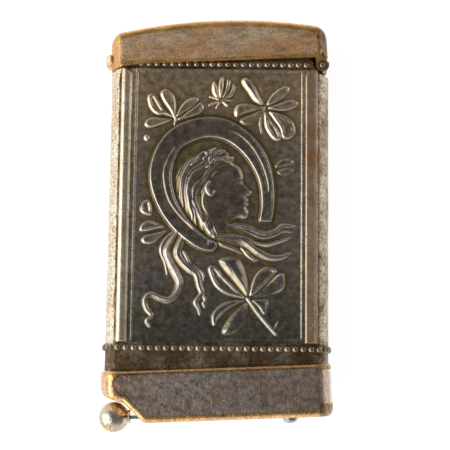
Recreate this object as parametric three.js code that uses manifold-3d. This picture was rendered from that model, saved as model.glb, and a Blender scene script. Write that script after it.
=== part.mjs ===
// A pocket match safe in plated brass, with a sprung lid and a sliding cigar cutter in its base.
// It lies on its back: X runs across the case, Y from the base up to the lid, Z from the back to the front.
import * as THREE from 'three';
import { mergeVertices } from 'three/addons/utils/BufferGeometryUtils.js';
import Module from 'manifold-3d';

const wasm = await Module();
wasm.setup();

// Clearances, in millimetres
const solderGap = 0.1;      // between flat pieces that are soldered together
const fitGap = 0.3;         // round curved pieces that are fixed in one another
const runGap = 0.2;         // between pieces that move past one another

// Case tube, in millimetres
const caseWidth = 39.4;
const tubeDepth = 9.6;
const sideBow = 2.0;        // how far the narrow sides swell
const tubeWall = 0.5;
const tubeLap = 2.2;        // length of the tube inside the base
const mouthRim = 0.2;       // plain edge above the upper beads
const shoulderDrop = 1.7;   // the left side stops short of the mouth by this much
const shoulderInset = 2.3;  // width of the low left shoulder, from the widest point of the case
const proud = 1.1;          // how far the lid and the base stand out from the tube, front and back

// Neck sleeve and chamber floor
const neckWall = 0.4;
const neckRise = 2.0;
const neckLap = 5.3;
const neckBack = 1.0;       // the sleeve is open at the hinge side, this far short of the knuckles
const floorThick = 0.5;
const floorRise = 0.3;      // floor above the foot of the tube

// Beaded trim
const beadPitch = 1.4;
const beadRadius = 0.56;
const beadHeight = 0.25;
const beadStrip = 1.2;
const beadBacking = 0.12;
const plainBand = 3.15;     // from the rim of the base to the lower beads
const rowShort = 0.85;      // an upper row ends this far inside the outer edges of the rails
const trimGap = 0.4;        // between a beaded strip and the ends of the rails

// Panels and their rails
const panelHeight = 48.35;
const panelThick = 0.3;
const panelTuck = 0.55;     // how far the panel runs under a rail
const railWidth = 2.25;
const railHeight = 0.9;
const railRound = 0.3;
const railCorner = 0.4;
const railTip = 1.4;        // round of the rail's inner top corner
const railEdge = 0.25;      // rail to the edge of the flat face
const borderInset = 0.35;
const borderWidth = 0.35;
const borderHeight = 0.1;

// Embossed relief
const reliefHeight = 0.5;
const leafHeight = 0.3;
const strandHeight = 0.21;
const layerStep = 0.008;
const reliefRound = 0.2;
const leafRound = 0.15;
const strandRound = 0.08;
const stalkHalf = 0.4;
const shoeCentre = [-1.1, 27.85];  // from the middle of the panel's lower edge
const shoeTurn = 28;        // degrees
const shoeHalf = 9.1;       // half width at the middle of the band
const shoeToe = 9.9;
const shoeHeel = 12.6;
const shoeOpen = 145;       // degrees from the toe to each heel
const shoeToeWidth = 4.3;
const shoeHeelWidth = 2.6;
const creaseWidth = 0.6;
const creaseDepth = 0.22;
const creaseStart = 25;     // degrees from the toe
const creaseStop = 14;      // degrees short of the heel
const headCentre = [0.3, 26.75];
const headHeight = 12.2;
const headRise = 0.53;
const headTurn = 10;        // degrees, leaning back

// Lid
const lidHeight = 7.65;
const lidWall = 0.5;
const lidGap = 0.55;        // lid above the mouth of the tube
const lidArch = 96;
const lidCorner = 1.4;
const lidRound = 1.3;
const lidLean = 2.8;        // degrees; the worn lid closes this far past square
const lidHeelCut = 1.2;     // the hinge end of the lid is cut this far above its edge
const lipReach = 1.0;
const lipWidth = 6.0;
const lipThick = 1.4;
const lipRise = 1.2;

// Lid hinge and spring
const pinRadius = 0.55;
const pinInset = 1.5;       // pin from the widest point of the case
const pinDrop = 0.9;        // pin below the mouth of the tube
const notchDrop = 0.4;      // tube below the knuckles
const pinHead = 0.15;
const lugRadius = 1.2;
const knuckleRadius = 1.0;
const knuckleLength = 2.6;
const tailWidth = 0.9;
const tailLength = 3.0;
const tailThick = 0.8;
const camRadius = 1.1;
const camFlat = 1.0;
const camWidth = 4.2;
const camArm = 4.4;
const camArmWidth = 0.8;
const springThick = 0.35;
const springWidth = 3.4;
const springLength = 25.4;
const springBend = 9;       // length over which the spring stands off the wall
const rivetRadius = 0.5;
const rivetHead = 0.95;
const rivetHeadThick = 0.3;
const rivetRise = 2.2;

// Base cap
const baseSpread = 0.6;     // how far each end of the base stands out past the case
const baseBow = 2.2;
const baseHeight = 9.1;
const baseWall = 0.4;
const baseRound = 0.95;
const baseCorner = 1.4;
const baseRim = 1.2;        // round of the upper corners
const baseToe = 1.1;        // round at the foot of the ramp
const basePivot = 3.0;      // the lean turns about a point this far below the rim
const baseLean = 2.75;      // degrees; the base sits askew on the tube
const rampReach = 5.6;      // from the middle of the ball to the foot of the ramp
const rampSlope = 46;       // degrees
const shoulderSlope = 18;   // degrees
const strikerLow = 2.3;
const strikerTop = 1.2;     // striker's window below the rim
const strikerWidth = 7.2;
const strikerTeeth = 11;
const strikerCut = 0.16;

// Cutter
const ballInset = 2.2;      // middle of the ball from the left end of the base
const ballY = 1.05;
const ballRadius = 2.65;
const ballGap = 0.35;
const collarRadius = 1.2;
const collarReach = 0.25;
const holeReach = 7.6;      // from the foot of the ramp to the middle of the cigar hole
const holeRadius = 3.3;
const travel = 7.8;
const bladeThick = 0.6;
const bladeHalf = 4.3;
const bladeMargin = 0.6;
const bladeTail = 1.7;      // blade past the stud
const bladeCorner = 1.2;
const tongueHalf = 0.6;
const tongueDepth = 1.3;    // how far the tongue goes into the ball and its collar
const studInset = 7.5;      // stud from the right end of the base
const studRadius = 0.75;
const studHead = 1.25;
const studDome = 0.7;
const studTop = 1.1;
const studTopThick = 0.3;
const washerRadius = 1.45;
const washerThick = 0.25;

// Levels that follow from these
const caseDepth = tubeDepth + 2 * proud;
const zMid = caseDepth / 2;
const face = zMid + tubeDepth / 2;
const caseHalf = caseWidth / 2;
const tubeFoot = baseHeight - tubeLap;
const lowerBeads = baseHeight + plainBand;
const panelLow = lowerBeads + beadStrip / 2 + trimGap;
const panelTop = panelLow + panelHeight;
const upperBeads = panelTop + trimGap + beadStrip / 2;
const tubeTop = upperBeads + beadStrip / 2 + mouthRim;
const shoulderTop = tubeTop - shoulderDrop;
const shoulderX = caseHalf - shoulderInset;
const lidLow = tubeTop + lidGap;
const lidTop = lidLow + lidHeight;
const railOuter = caseHalf - sideBow - railEdge;
const railInner = railOuter - railWidth;
const panelHalf = railInner + panelTuck;
const rowHalf = railOuter - rowShort;
const seat = face + solderGap;
const ground = seat + panelThick;
const pinX = caseHalf - pinInset;
const pinY = tubeTop - pinDrop;
const pinHole = pinRadius + runGap;
const neckStop = pinX - knuckleRadius - fitGap - neckBack;
const baseWidth = caseWidth + 2 * baseSpread;
const strikerHigh = baseHeight - strikerTop;
const ballX = ballInset - baseWidth / 2;
const rampFoot = ballX + rampReach;
const holeX = rampFoot + holeReach;
const studX = baseWidth / 2 - studInset;
const bladeEnd = studX + bladeTail;
const bladeLow = baseWall + runGap;
const bladeTop = bladeLow + bladeThick;
const bladeLeft = holeX - holeRadius - bladeMargin;
const tube = { width: caseWidth, depth: tubeDepth, bow: sideBow };
const lid = { width: caseWidth, depth: caseDepth, bow: sideBow };
const base = { width: baseWidth, depth: caseDepth, bow: baseBow };
const radians = THREE.MathUtils.degToRad;
const far = 2 * caseWidth;  // longer than any cut needs

// Solids that can be joined and cut
function solid(geometry) {
  geometry.deleteAttribute('normal');
  geometry.deleteAttribute('uv');
  const merged = mergeVertices(geometry);
  return new wasm.Manifold(new wasm.Mesh({
    numProp: 3,
    vertProperties: new Float32Array(merged.attributes.position.array),
    triVerts: new Uint32Array(merged.index.array),
  }));
}

function join(first, ...others) {
  return others.reduce((whole, other) => whole.add(other), first);
}

function cut(first, ...others) {
  return others.reduce((whole, other) => whole.subtract(other), first);
}

// An outline in X and Y, thick along Z, with its front and back edges rounded
function slab(shape, z0, z1, round = 0, steps = 3, curveSegments = 10) {
  const geometry = new THREE.ExtrudeGeometry(shape, {
    depth: z1 - z0 - 2 * round,
    curveSegments,
    bevelEnabled: round > 0,
    bevelThickness: round,
    bevelSize: round,
    bevelOffset: -round,
    bevelSegments: steps,
  });
  geometry.translate(0, 0, z0 + round);
  return solid(geometry);
}

// An outline in X and Z, standing along Y
function column(shape, y0, y1, curveSegments = 10) {
  const geometry = new THREE.ExtrudeGeometry(shape, { depth: y1 - y0, bevelEnabled: false, curveSegments });
  geometry.rotateX(Math.PI / 2);
  geometry.translate(0, y1, 0);
  return solid(geometry);
}

function block(x0, x1, y0, y1, z0, z1) {
  const geometry = new THREE.BoxGeometry(x1 - x0, y1 - y0, z1 - z0);
  geometry.translate((x0 + x1) / 2, (y0 + y1) / 2, (z0 + z1) / 2);
  return solid(geometry);
}

// Round bars along each axis
function barX(y, z, radius, x0, x1, sides = 20) {
  const geometry = new THREE.CylinderGeometry(radius, radius, x1 - x0, sides);
  geometry.rotateZ(Math.PI / 2);
  geometry.translate((x0 + x1) / 2, y, z);
  return solid(geometry);
}

function barY(x, z, radius, y0, y1, sides = 32) {
  const geometry = new THREE.CylinderGeometry(radius, radius, y1 - y0, sides);
  geometry.translate(x, (y0 + y1) / 2, z);
  return solid(geometry);
}

function barZ(x, y, radius, z0, z1, sides = 20) {
  const geometry = new THREE.CylinderGeometry(radius, radius, z1 - z0, sides);
  geometry.rotateX(Math.PI / 2);
  geometry.translate(x, y, (z0 + z1) / 2);
  return solid(geometry);
}

function rectangle(x0, x1, y0, y1) {
  return new THREE.Shape([[x0, y0], [x1, y0], [x1, y1], [x0, y1]].map((p) => new THREE.Vector2(...p)));
}

// Radius of a bowed side, and how far its centre lies from the middle of the case
function bowOf({ width, depth, bow }) {
  const radius = (depth * depth / 4 + bow * bow) / (2 * bow);
  return { radius, centre: width / 2 - radius };
}

// Section of the case in X and Z: flat front and back, bowed sides; inset draws it in all round
function barrel(size, inset = 0) {
  const { radius, centre } = bowOf(size);
  const sweep = Math.asin((size.depth / 2 - inset) / (radius - inset));
  const shape = new THREE.Shape();
  shape.absarc(centre, zMid, radius - inset, -sweep, sweep);
  shape.absarc(-centre, zMid, radius - inset, Math.PI - sweep, Math.PI + sweep);
  shape.closePath();
  return shape;
}

// Outline with rounded corners, given anticlockwise as [x, y, radius]; inset draws it in all round
function rounded(corners, inset = 0) {
  const count = corners.length;
  const points = corners.map(([x, y]) => new THREE.Vector2(x, y));
  const along = points.map((p, i) => points[(i + 1) % count].clone().sub(p).normalize());
  const inward = along.map((d) => new THREE.Vector2(-d.y, d.x));
  const shape = new THREE.Shape();
  points.forEach((point, i) => {
    const before = (i + count - 1) % count;
    const turn = Math.atan2(along[before].cross(along[i]), along[before].dot(along[i]));
    const side = Math.sign(turn);
    const radius = Math.max(corners[i][2] - side * inset, 0.05);
    const middle = inward[before].clone().add(inward[i]);
    const corner = point.clone().addScaledVector(middle, inset / (1 + inward[before].dot(inward[i])));
    const reach = radius * Math.tan(Math.abs(turn) / 2);
    const start = corner.clone().addScaledVector(along[before], -reach);
    const hub = start.clone().addScaledVector(inward[before], side * radius);
    const angle = Math.atan2(start.y - hub.y, start.x - hub.x);
    shape.absarc(hub.x, hub.y, radius, angle, angle + turn, side < 0);
  });
  shape.closePath();
  return shape;
}

// A dome on a short stem, standing along the given direction
function dome(at, direction, radius, height, stem) {
  const profile = [[0, -stem], [radius, -stem], [radius * 0.75, height * 0.68], [0, height]];
  const geometry = new THREE.LatheGeometry(profile.map((p) => new THREE.Vector2(...p)), 6);
  const up = new THREE.Vector3(0, 1, 0);
  geometry.applyQuaternion(new THREE.Quaternion().setFromUnitVectors(up, direction));
  geometry.translate(at.x, at.y, at.z);
  return solid(geometry);
}

// Case tube with a low shoulder at the left and a notch for the hinge at the right
function bodyTube() {
  const shell = cut(
    column(barrel(tube), tubeFoot, tubeTop),
    column(barrel(tube, tubeWall), tubeFoot - 1, tubeTop + 1),
  );
  const rivetHole = barX(rivetY, zMid, rivetRadius + runGap, pinX, far);
  const leftShoulder = block(-far, -shoulderX, shoulderTop, far, -far, far);
  const notchFoot = pinY - knuckleRadius - notchDrop;
  const hingeNotch = block(pinX - knuckleRadius - runGap, far, notchFoot, far, -far, far);
  return cut(shell, leftShoulder, hingeNotch, rivetHole);
}

function neckSleeve() {
  const inset = tubeWall + fitGap;
  const foot = tubeTop - neckLap;
  const top = tubeTop + neckRise;
  return cut(
    column(barrel(tube, inset), foot, top),
    column(barrel(tube, inset + neckWall), foot - 1, top + 1),
    block(neckStop, far, 0, far, -far, far),
  );
}

function chamberFloor() {
  const low = tubeFoot + floorRise;
  return column(barrel(tube, tubeWall + fitGap), low, low + floorThick);
}

// Straight row of beads on a thin strip
function beadRow() {
  const top = seat + beadBacking;
  const strip = slab(
    rectangle(-rowHalf, rowHalf, upperBeads - beadStrip / 2, upperBeads + beadStrip / 2),
    seat,
    top,
  );
  const count = Math.floor((2 * rowHalf) / beadPitch);
  const out = new THREE.Vector3(0, 0, 1);
  const beads = [];
  for (let i = 0; i < count; i += 1) {
    const x = (i - (count - 1) / 2) * beadPitch;
    beads.push(dome(new THREE.Vector3(x, upperBeads, top), out, beadRadius, beadHeight, beadBacking / 2));
  }
  return join(strip, ...beads);
}

// Beaded band all round the foot of the tube
function beadBand() {
  const inner = -solderGap;
  const outer = inner - beadBacking;
  const low = lowerBeads - beadStrip / 2;
  const high = lowerBeads + beadStrip / 2;
  const ring = cut(
    column(barrel(tube, outer), low, high),
    column(barrel(tube, inner), low - 1, high + 1),
  );
  const path = barrel(tube, outer);
  const count = Math.round(path.getLength() / beadPitch);
  const beads = [];
  for (let i = 0; i < count; i += 1) {
    const share = (i + 0.5) / count;
    const point = path.getPointAt(share);
    const tangent = path.getTangentAt(share);
    const out = new THREE.Vector3(tangent.y, 0, -tangent.x);
    const at = new THREE.Vector3(point.x, lowerBeads, point.y);
    beads.push(dome(at, out, beadRadius, beadHeight, beadBacking / 2));
  }
  return join(ring, ...beads);
}

// Rail with rounded edges and a rebate under its inner edge for the panel;
// side is 1 at the right, -1 at the left
function rail(side) {
  const corners = [
    [side * railInner, panelLow, railCorner],
    [side * railOuter, panelLow, railCorner],
    [side * railOuter, panelTop, railCorner],
    [side * railInner, panelTop, railTip],
  ];
  const outline = rounded(side > 0 ? corners : corners.reverse());
  const bar = slab(outline, seat - railHeight, seat + railHeight, railRound, 2, 3);
  const under = block(-far, far, 0, far, -far, seat);
  const tuck = railInner + panelTuck + runGap;
  const rebate = block(side > 0 ? 0 : -tuck, side > 0 ? tuck : 0, 0, far, -far, ground + solderGap);
  return cut(bar, under, rebate);
}

// Panel sheet with a raised border line
function panelSheet() {
  const sheet = slab(rectangle(-panelHalf, panelHalf, panelLow, panelTop), seat, ground);
  const x = railInner - borderInset;
  const low = panelLow + borderInset;
  const high = panelTop - borderInset;
  const line = rectangle(-x, x, low, high);
  line.holes.push(rectangle(-x + borderWidth, x - borderWidth, low + borderWidth, high - borderWidth));
  return join(sheet, slab(line, seat + panelThick / 2, ground + borderHeight));
}

// Place on the panel, from the middle of its lower edge
function onPanel([x, y]) {
  return new THREE.Vector2(x, panelLow + y);
}

// A raised form of the relief, rounded over at its edge and rooted in the sheet
function raised(shape, height, round, steps = 1) {
  const root = ground - reliefRound - height / 10;
  return slab(shape, root, ground + height, round, steps);
}

// Outline of a band that follows a line of points, with a half width for each share of its length
function band(points, halfWidth) {
  const left = [];
  const right = [];
  points.forEach((point, i) => {
    const before = points[Math.max(i - 1, 0)];
    const after = points[Math.min(i + 1, points.length - 1)];
    const direction = after.clone().sub(before).normalize();
    const normal = new THREE.Vector2(-direction.y, direction.x);
    const half = halfWidth(i / (points.length - 1));
    left.push(point.clone().addScaledVector(normal, half));
    right.unshift(point.clone().addScaledVector(normal, -half));
  });
  return new THREE.Shape([...left, ...right]);
}

// Middle line of the horseshoe: a round toe, and branches that draw in to the heels
function shoeLine(fromDegrees, toDegrees, steps) {
  const turn = radians(shoeTurn);
  const points = [];
  for (let i = 0; i <= steps; i += 1) {
    const angle = radians(fromDegrees + ((toDegrees - fromDegrees) * i) / steps);
    const across = shoeHalf * Math.sin(angle);
    const up = (Math.cos(angle) > 0 ? shoeToe : shoeHeel) * Math.cos(angle);
    points.push(new THREE.Vector2(across, up).rotateAround(new THREE.Vector2(), turn).add(onPanel(shoeCentre)));
  }
  return points;
}

function horseshoe() {
  const middle = shoeLine(shoeOpen, -shoeOpen, 26);
  const half = (share) => {
    const toHeel = Math.abs(2 * share - 1);
    return (shoeToeWidth + (shoeHeelWidth - shoeToeWidth) * toHeel) / 2;
  };
  const plate = raised(band(middle, half), reliefHeight, reliefRound, 2);
  const ends = [creaseStart, shoeOpen - creaseStop];
  const creases = [ends, ends.map((angle) => -angle)].map(([from, to]) => {
    const line = shoeLine(from, to, 9);
    const bottom = ground + reliefHeight - creaseDepth;
    return slab(band(line, () => creaseWidth / 2), bottom, bottom + reliefHeight);
  });
  return cut(plate, ...creases);
}

// Heart-shaped leaf with its stalk end at the given point, turned by an angle in degrees
function leaf(height, place, turn, length, width) {
  const shape = new THREE.Shape();
  const half = width / 2;
  shape.moveTo(0, -stalkHalf);
  shape.bezierCurveTo(length * 0.3, -half * 0.5, length * 0.5, -half * 1.3, length * 0.85, -half);
  shape.bezierCurveTo(length * 1.1, -half * 0.75, length * 1.05, -half * 0.1, length * 0.86, 0);
  shape.bezierCurveTo(length * 1.05, half * 0.1, length * 1.1, half * 0.75, length * 0.85, half);
  shape.bezierCurveTo(length * 0.5, half * 1.3, length * 0.3, half * 0.5, 0, stalkHalf);
  const outline = shape.getPoints(4).map((p) => p.rotateAround(new THREE.Vector2(), radians(turn)));
  outline.forEach((p) => p.add(onPanel(place)));
  return raised(new THREE.Shape(outline), height, leafRound);
}

// Tapering lock of hair or stem along a smooth line
function strand(height, route, width, steps) {
  const line = new THREE.SplineCurve(route.map(onPanel)).getSpacedPoints(steps);
  return raised(band(line, (share) => (width / 2) * (1 - 0.55 * share)), height, strandRound);
}

// Head in profile on plain schoolbook proportions, and the mass of hair round it
function head() {
  const profile = [
    [0.06, -0.16], [0.03, 0.06], [0.24, 0.02], [0.34, 0.1], [0.34, 0.25], [0.36, 0.33], [0.43, 0.4],
    [0.33, 0.56], [0.34, 0.74], [0.22, 0.93], [-0.06, 1.0], [-0.32, 0.93], [-0.47, 0.68], [-0.4, 0.36],
    [-0.36, 0.05], [-0.3, -0.16],
  ];
  const turn = radians(headTurn);
  const outline = profile.map(([x, y]) => new THREE.Vector2(x, y - 0.5)
    .multiplyScalar(headHeight)
    .rotateAround(new THREE.Vector2(), turn)
    .add(onPanel(headCentre)));
  return raised(new THREE.Shape(outline), headRise, reliefRound, 2);
}

// Front panel: horseshoe, head with flowing hair, clovers and sprigs
function frontPanel() {
  const lowClover = [5.2, 7.75];
  const topClover = [8.0, 41.75];
  const sprig = [-7.9, 39.25];
  // Each leaf and each lock lies a little higher than the one before it
  const leaves = [
    [lowClover, 132, 8.0, 5.4],
    [lowClover, 40, 7.6, 5.2],
    [lowClover, 230, 7.2, 5.0],
    [lowClover, 318, 4.4, 3.4],
    [topClover, 132, 6.2, 2.2],
    [topClover, 28, 5.0, 3.4],
    [topClover, 205, 5.0, 3.2],
    [topClover, 308, 5.2, 4.0],
    [sprig, 128, 5.8, 2.8],
    [sprig, 40, 5.2, 2.6],
    [sprig, 165, 4.8, 2.6],
    [[0.4, 42.15], 90, 4.2, 3.6],
    [[-9.3, 19.35], 200, 4.2, 2.8],
    [[-11.6, 21.55], 120, 2.8, 2.2],
    [[10.2, 30.35], 30, 3.2, 2.4],
  ].map((row, i) => leaf(leafHeight + i * layerStep, ...row));
  const strands = [
    [[[-6.6, 20.85], [-9.3, 16.15], [-6.8, 10.55], [-8.9, 6.95], [-12.0, 6.95], [-11.7, 2.95]], 1.9, 18],
    [[[-5.4, 19.85], [-6.3, 13.55], [-3.5, 10.35], [-3.7, 6.95], [-2.8, 4.55]], 1.7, 13],
    [[[-1.2, 20.95], [3.3, 20.75], [6.6, 19.65], [9.6, 19.35], [11.4, 20.65], [13.4, 20.35]], 1.9, 13],
    [[[-1.6, 19.55], [4.0, 18.15], [7.1, 16.35], [9.6, 15.05], [12.3, 15.65]], 1.7, 11],
    [[[-1.2, 18.35], [0.3, 16.75], [3.4, 15.85], [6.6, 14.15]], 1.5, 10],
    [[lowClover, [7.8, 4.55], [10.1, 1.35]], 1.0, 6],
    [[topClover, [7.6, 39.15], [8.4, 35.95]], 0.9, 5],
  ].map((row, i) => strand(strandHeight + i * layerStep, ...row));
  return join(panelSheet(), horseshoe(), ...leaves, ...strands, head());
}

// Lid: arched cap with bowed ends, cut away at the hinge end and carried by two lugs
function lidOutline(inset) {
  const half = caseHalf + runGap - inset;
  const hubX = caseHalf + runGap - lidCorner;
  const archY = lidTop - lidArch;
  const hubY = archY + Math.sqrt((lidArch - lidCorner) ** 2 - hubX ** 2);
  const angle = Math.atan2(hubY - archY, hubX);
  const shape = new THREE.Shape();
  shape.moveTo(-half, lidLow - lidHeight);
  shape.lineTo(half, lidLow - lidHeight);
  shape.absarc(hubX, hubY, lidCorner - inset, 0, angle);
  shape.absarc(0, archY, lidArch - inset, angle, Math.PI - angle);
  shape.absarc(-hubX, hubY, lidCorner - inset, Math.PI - angle, Math.PI);
  shape.closePath();
  return shape;
}

function lidShell() {
  const outer = slab(lidOutline(0), 0, caseDepth, lidRound, 3, 7)
    .intersect(column(barrel(lid), lidLow, lidTop + 1));
  const inner = slab(lidOutline(lidWall), lidWall, caseDepth - lidWall, lidRound - lidWall, 2, 7)
    .intersect(column(barrel(lid, lidWall), lidLow - 1, lidTop + 1));
  const heel = block(pinX - lugRadius, far, 0, lidLow + lidHeelCut, lidWall, caseDepth - lidWall);
  const lug = new THREE.Shape();
  lug.moveTo(pinX + lugRadius * 0.4, lidLow + lidHeelCut);
  lug.lineTo(pinX - lugRadius, lidLow + lidHeelCut);
  lug.absarc(pinX, pinY, lugRadius, Math.PI, 2 * Math.PI);
  lug.closePath();
  const lugs = [slab(lug, 0, lidWall), slab(lug, caseDepth - lidWall, caseDepth)];
  const hole = barZ(pinX, pinY, pinHole, -far, far);
  return cut(join(cut(outer, inner, heel), ...lugs), hole);
}

function thumbLip() {
  const crescent = new THREE.Shape();
  crescent.absellipse(-caseHalf, zMid, lipReach, lipWidth / 2, 0, 2 * Math.PI);
  const low = lidLow + lipRise;
  return cut(
    column(crescent, low, low + lipThick),
    column(barrel(lid, -solderGap), low - 1, low + lipThick + 1),
  );
}

// Cam on the pin, between the knuckles, with an arm up the hinge end of the lid
function lidCam() {
  const z0 = zMid - camWidth / 2;
  const z1 = zMid + camWidth / 2;
  const { radius, centre } = bowOf(lid);
  const endWall = centre + Math.sqrt((radius - lidWall) ** 2 - (camWidth / 2) ** 2);
  const armRight = endWall - solderGap;
  const arm = block(armRight - camArmWidth, armRight, pinY, pinY + camArm, z0, z1);
  const flat = block(-far, pinX - camFlat, -far, far, -far, far);
  const hub = cut(barZ(pinX, pinY, camRadius, z0, z1, 28), flat);
  return cut(join(hub, arm), barZ(pinX, pinY, pinHole, -far, far));
}

// Short hinge tube with a tail inside the corner of the case; side is 1 at the front, -1 at the back
function hingeKnuckle(side) {
  const outerEnd = zMid + side * (caseDepth / 2 - lidWall - runGap);
  const innerEnd = outerEnd - side * knuckleLength;
  const tailEnd = innerEnd + side * tailThick;
  const tailLeft = pinX - knuckleRadius - fitGap;
  const tailLow = pinY - knuckleRadius / 2 - tailLength;
  const tail = block(tailLeft, tailLeft + tailWidth, tailLow, pinY,
    Math.min(innerEnd, tailEnd), Math.max(innerEnd, tailEnd));
  const barrelTube = barZ(pinX, pinY, knuckleRadius,
    Math.min(innerEnd, outerEnd), Math.max(innerEnd, outerEnd), 24);
  return cut(join(barrelTube, tail), barZ(pinX, pinY, pinHole, -far, far));
}

function hingePin() {
  const back = solderGap;
  const profile = [[0, back], [pinRadius, back], [pinRadius, caseDepth], [pinRadius * 0.6, caseDepth + pinHead],
    [0, caseDepth + pinHead]];
  const geometry = new THREE.LatheGeometry(profile.map((p) => new THREE.Vector2(...p)), 20);
  geometry.rotateX(Math.PI / 2);
  geometry.translate(pinX, pinY, 0);
  return solid(geometry);
}

// Leaf spring: lies along the right wall, then stands off it to press on the cam
const tubeBow = bowOf(tube);
const springWallX = tubeBow.centre + Math.sqrt((tubeBow.radius - tubeWall) ** 2 - (springWidth / 2) ** 2);
const springX = springWallX - solderGap - springThick / 2;
const springTop = pinY + camRadius / 2;
const springFoot = springTop - springLength;
const rivetY = springFoot + rivetRise;

function lidSpring() {
  const tipX = pinX - camFlat - fitGap - springThick / 2;
  const route = [
    [springX, springFoot],
    [springX, springFoot + 2 * rivetRise],
    [(springX + tipX) / 2, springTop - springBend],
    [tipX - springThick / 3, springTop - springBend / 3],
    [tipX, springTop],
  ];
  const line = new THREE.SplineCurve(route.map((p) => new THREE.Vector2(...p))).getSpacedPoints(18);
  const strip = slab(band(line, () => springThick / 2), zMid - springWidth / 2, zMid + springWidth / 2);
  return cut(strip, barX(rivetY, zMid, rivetRadius + solderGap, 0, far));
}

function springRivet() {
  const headRight = springX - springThick / 2 - solderGap;
  const shank = barX(rivetY, zMid, rivetRadius, headRight - rivetHeadThick, caseHalf - solderGap);
  return join(shank, barX(rivetY, zMid, rivetHead, headRight - rivetHeadThick, headRight));
}

// Outline of the base from the front: the lower left corner steps in over the ball, then ramps to the foot
function baseCorners() {
  const half = baseWidth / 2;
  const slope = radians(shoulderSlope);
  const stand = ballRadius + ballGap;
  const above = [ballX + stand * Math.sin(slope), ballY + stand * Math.cos(slope)];
  const ramp = Math.tan(radians(rampSlope));
  const shoulder = Math.tan(slope);
  const bendX = (ramp * rampFoot - above[1] - shoulder * above[0]) / (ramp - shoulder);
  return [
    [rampFoot, 0, baseToe],
    [half, 0, baseCorner],
    [half, baseHeight, baseRim],
    [-half, baseHeight, baseRim],
    [-half, above[1] + shoulder * (above[0] + half), baseCorner],
    [bendX, ramp * (rampFoot - bendX), baseCorner],
  ];
}

function baseCap() {
  const corners = baseCorners();
  const outer = slab(rounded(corners), 0, caseDepth, baseRound, 2, 4)
    .intersect(column(barrel(base), -far, far));
  const inner = slab(rounded(corners, baseWall), baseWall, caseDepth - baseWall, baseRound - baseWall, 1, 4)
    .intersect(column(barrel(base, baseWall), -far, far));
  const mouth = column(barrel(tube, -fitGap), baseHeight - 2 * baseWall, far);
  const hole = barY(holeX, zMid, holeRadius, -far, baseHeight / 2, 28);
  const slotHalf = studRadius + runGap;
  const slot = new THREE.Shape();
  slot.absarc(studX, zMid, slotHalf, -Math.PI / 2, Math.PI / 2);
  slot.absarc(studX - travel, zMid, slotHalf, Math.PI / 2, 1.5 * Math.PI);
  slot.closePath();
  const slit = block(ballX, rampFoot + 2 * baseWall, baseWall + runGap / 4, bladeTop + runGap,
    zMid - bladeHalf - runGap, zMid + bladeHalf + runGap);
  const window = block(0, far, strikerLow, strikerHigh, zMid - strikerWidth / 2, zMid + strikerWidth / 2);
  return cut(outer, inner, mouth, hole, column(slot, -far, baseHeight / 2, 8), slit, window);
}

// Striker: file-cut plate, flush in the window of the base's right end
function strikerPlate() {
  const { radius, centre } = bowOf(base);
  const low = strikerLow + runGap;
  const high = strikerHigh - runGap;
  const pitch = (high - low) / strikerTeeth;
  const profile = [[radius - baseWall, low]];
  for (let i = 0; i < strikerTeeth; i += 1) {
    profile.push([radius - strikerCut, low + i * pitch], [radius, low + (i + 0.5) * pitch]);
  }
  profile.push([radius - strikerCut, high], [radius - baseWall, high], [radius - baseWall, low]);
  const geometry = new THREE.LatheGeometry(profile.map((p) => new THREE.Vector2(...p)), 56);
  geometry.translate(centre, 0, zMid);
  const half = strikerWidth / 2 - runGap;
  return solid(geometry).intersect(block(centre, far, 0, far, zMid - half, zMid + half));
}

// Cutter blade: a flat slide with a round hole that meets the hole in the base when it is drawn out
function cutterBlade() {
  const tongueEnd = ballX + ballRadius + collarReach - tongueDepth;
  const tongueRoot = bladeLeft - bladeHalf * 0.5;
  const outline = rounded([
    [bladeEnd, zMid - bladeHalf, bladeCorner],
    [bladeEnd, zMid + bladeHalf, bladeCorner],
    [bladeLeft, zMid + bladeHalf, bladeCorner],
    [tongueRoot, zMid + tongueHalf, bladeCorner / 2],
    [tongueEnd, zMid + tongueHalf, tongueHalf / 4],
    [tongueEnd, zMid - tongueHalf, tongueHalf / 4],
    [tongueRoot, zMid - tongueHalf, bladeCorner / 2],
    [bladeLeft, zMid - bladeHalf, bladeCorner],
  ]);
  const cutX = holeX + travel;
  const edge = new THREE.CylinderGeometry(holeRadius + bladeThick, holeRadius, bladeThick, 24);
  edge.translate(cutX, bladeLow + bladeThick / 2 + bladeThick / 4, zMid);
  return cut(
    column(outline, bladeLow, bladeTop, 5),
    barY(cutX, zMid, holeRadius, -far, far, 24),
    solid(edge),
    barY(studX, zMid, studRadius + solderGap, -far, far, 20),
  );
}

// Ball with a short collar, on the blade's tongue
function thumbBall() {
  const profile = [new THREE.Vector2(0, -ballRadius)];
  const steps = 9;
  const end = Math.PI / 2 - Math.asin(collarRadius / ballRadius);
  for (let i = 1; i <= steps; i += 1) {
    const angle = -Math.PI / 2 + ((end + Math.PI / 2) * i) / steps;
    profile.push(new THREE.Vector2(ballRadius * Math.cos(angle), ballRadius * Math.sin(angle)));
  }
  const reach = ballRadius + collarReach;
  profile.push(new THREE.Vector2(collarRadius, reach), new THREE.Vector2(0, reach));
  const geometry = new THREE.LatheGeometry(profile, 20);
  geometry.rotateZ(-Math.PI / 2);
  geometry.translate(ballX, ballY, zMid);
  const pocketEnd = ballX + reach - tongueDepth - runGap;
  const pocket = block(pocketEnd, ballX + reach + 1, bladeLow - solderGap, bladeTop + solderGap,
    zMid - tongueHalf - solderGap, zMid + tongueHalf + solderGap);
  return cut(solid(geometry), pocket);
}

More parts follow.
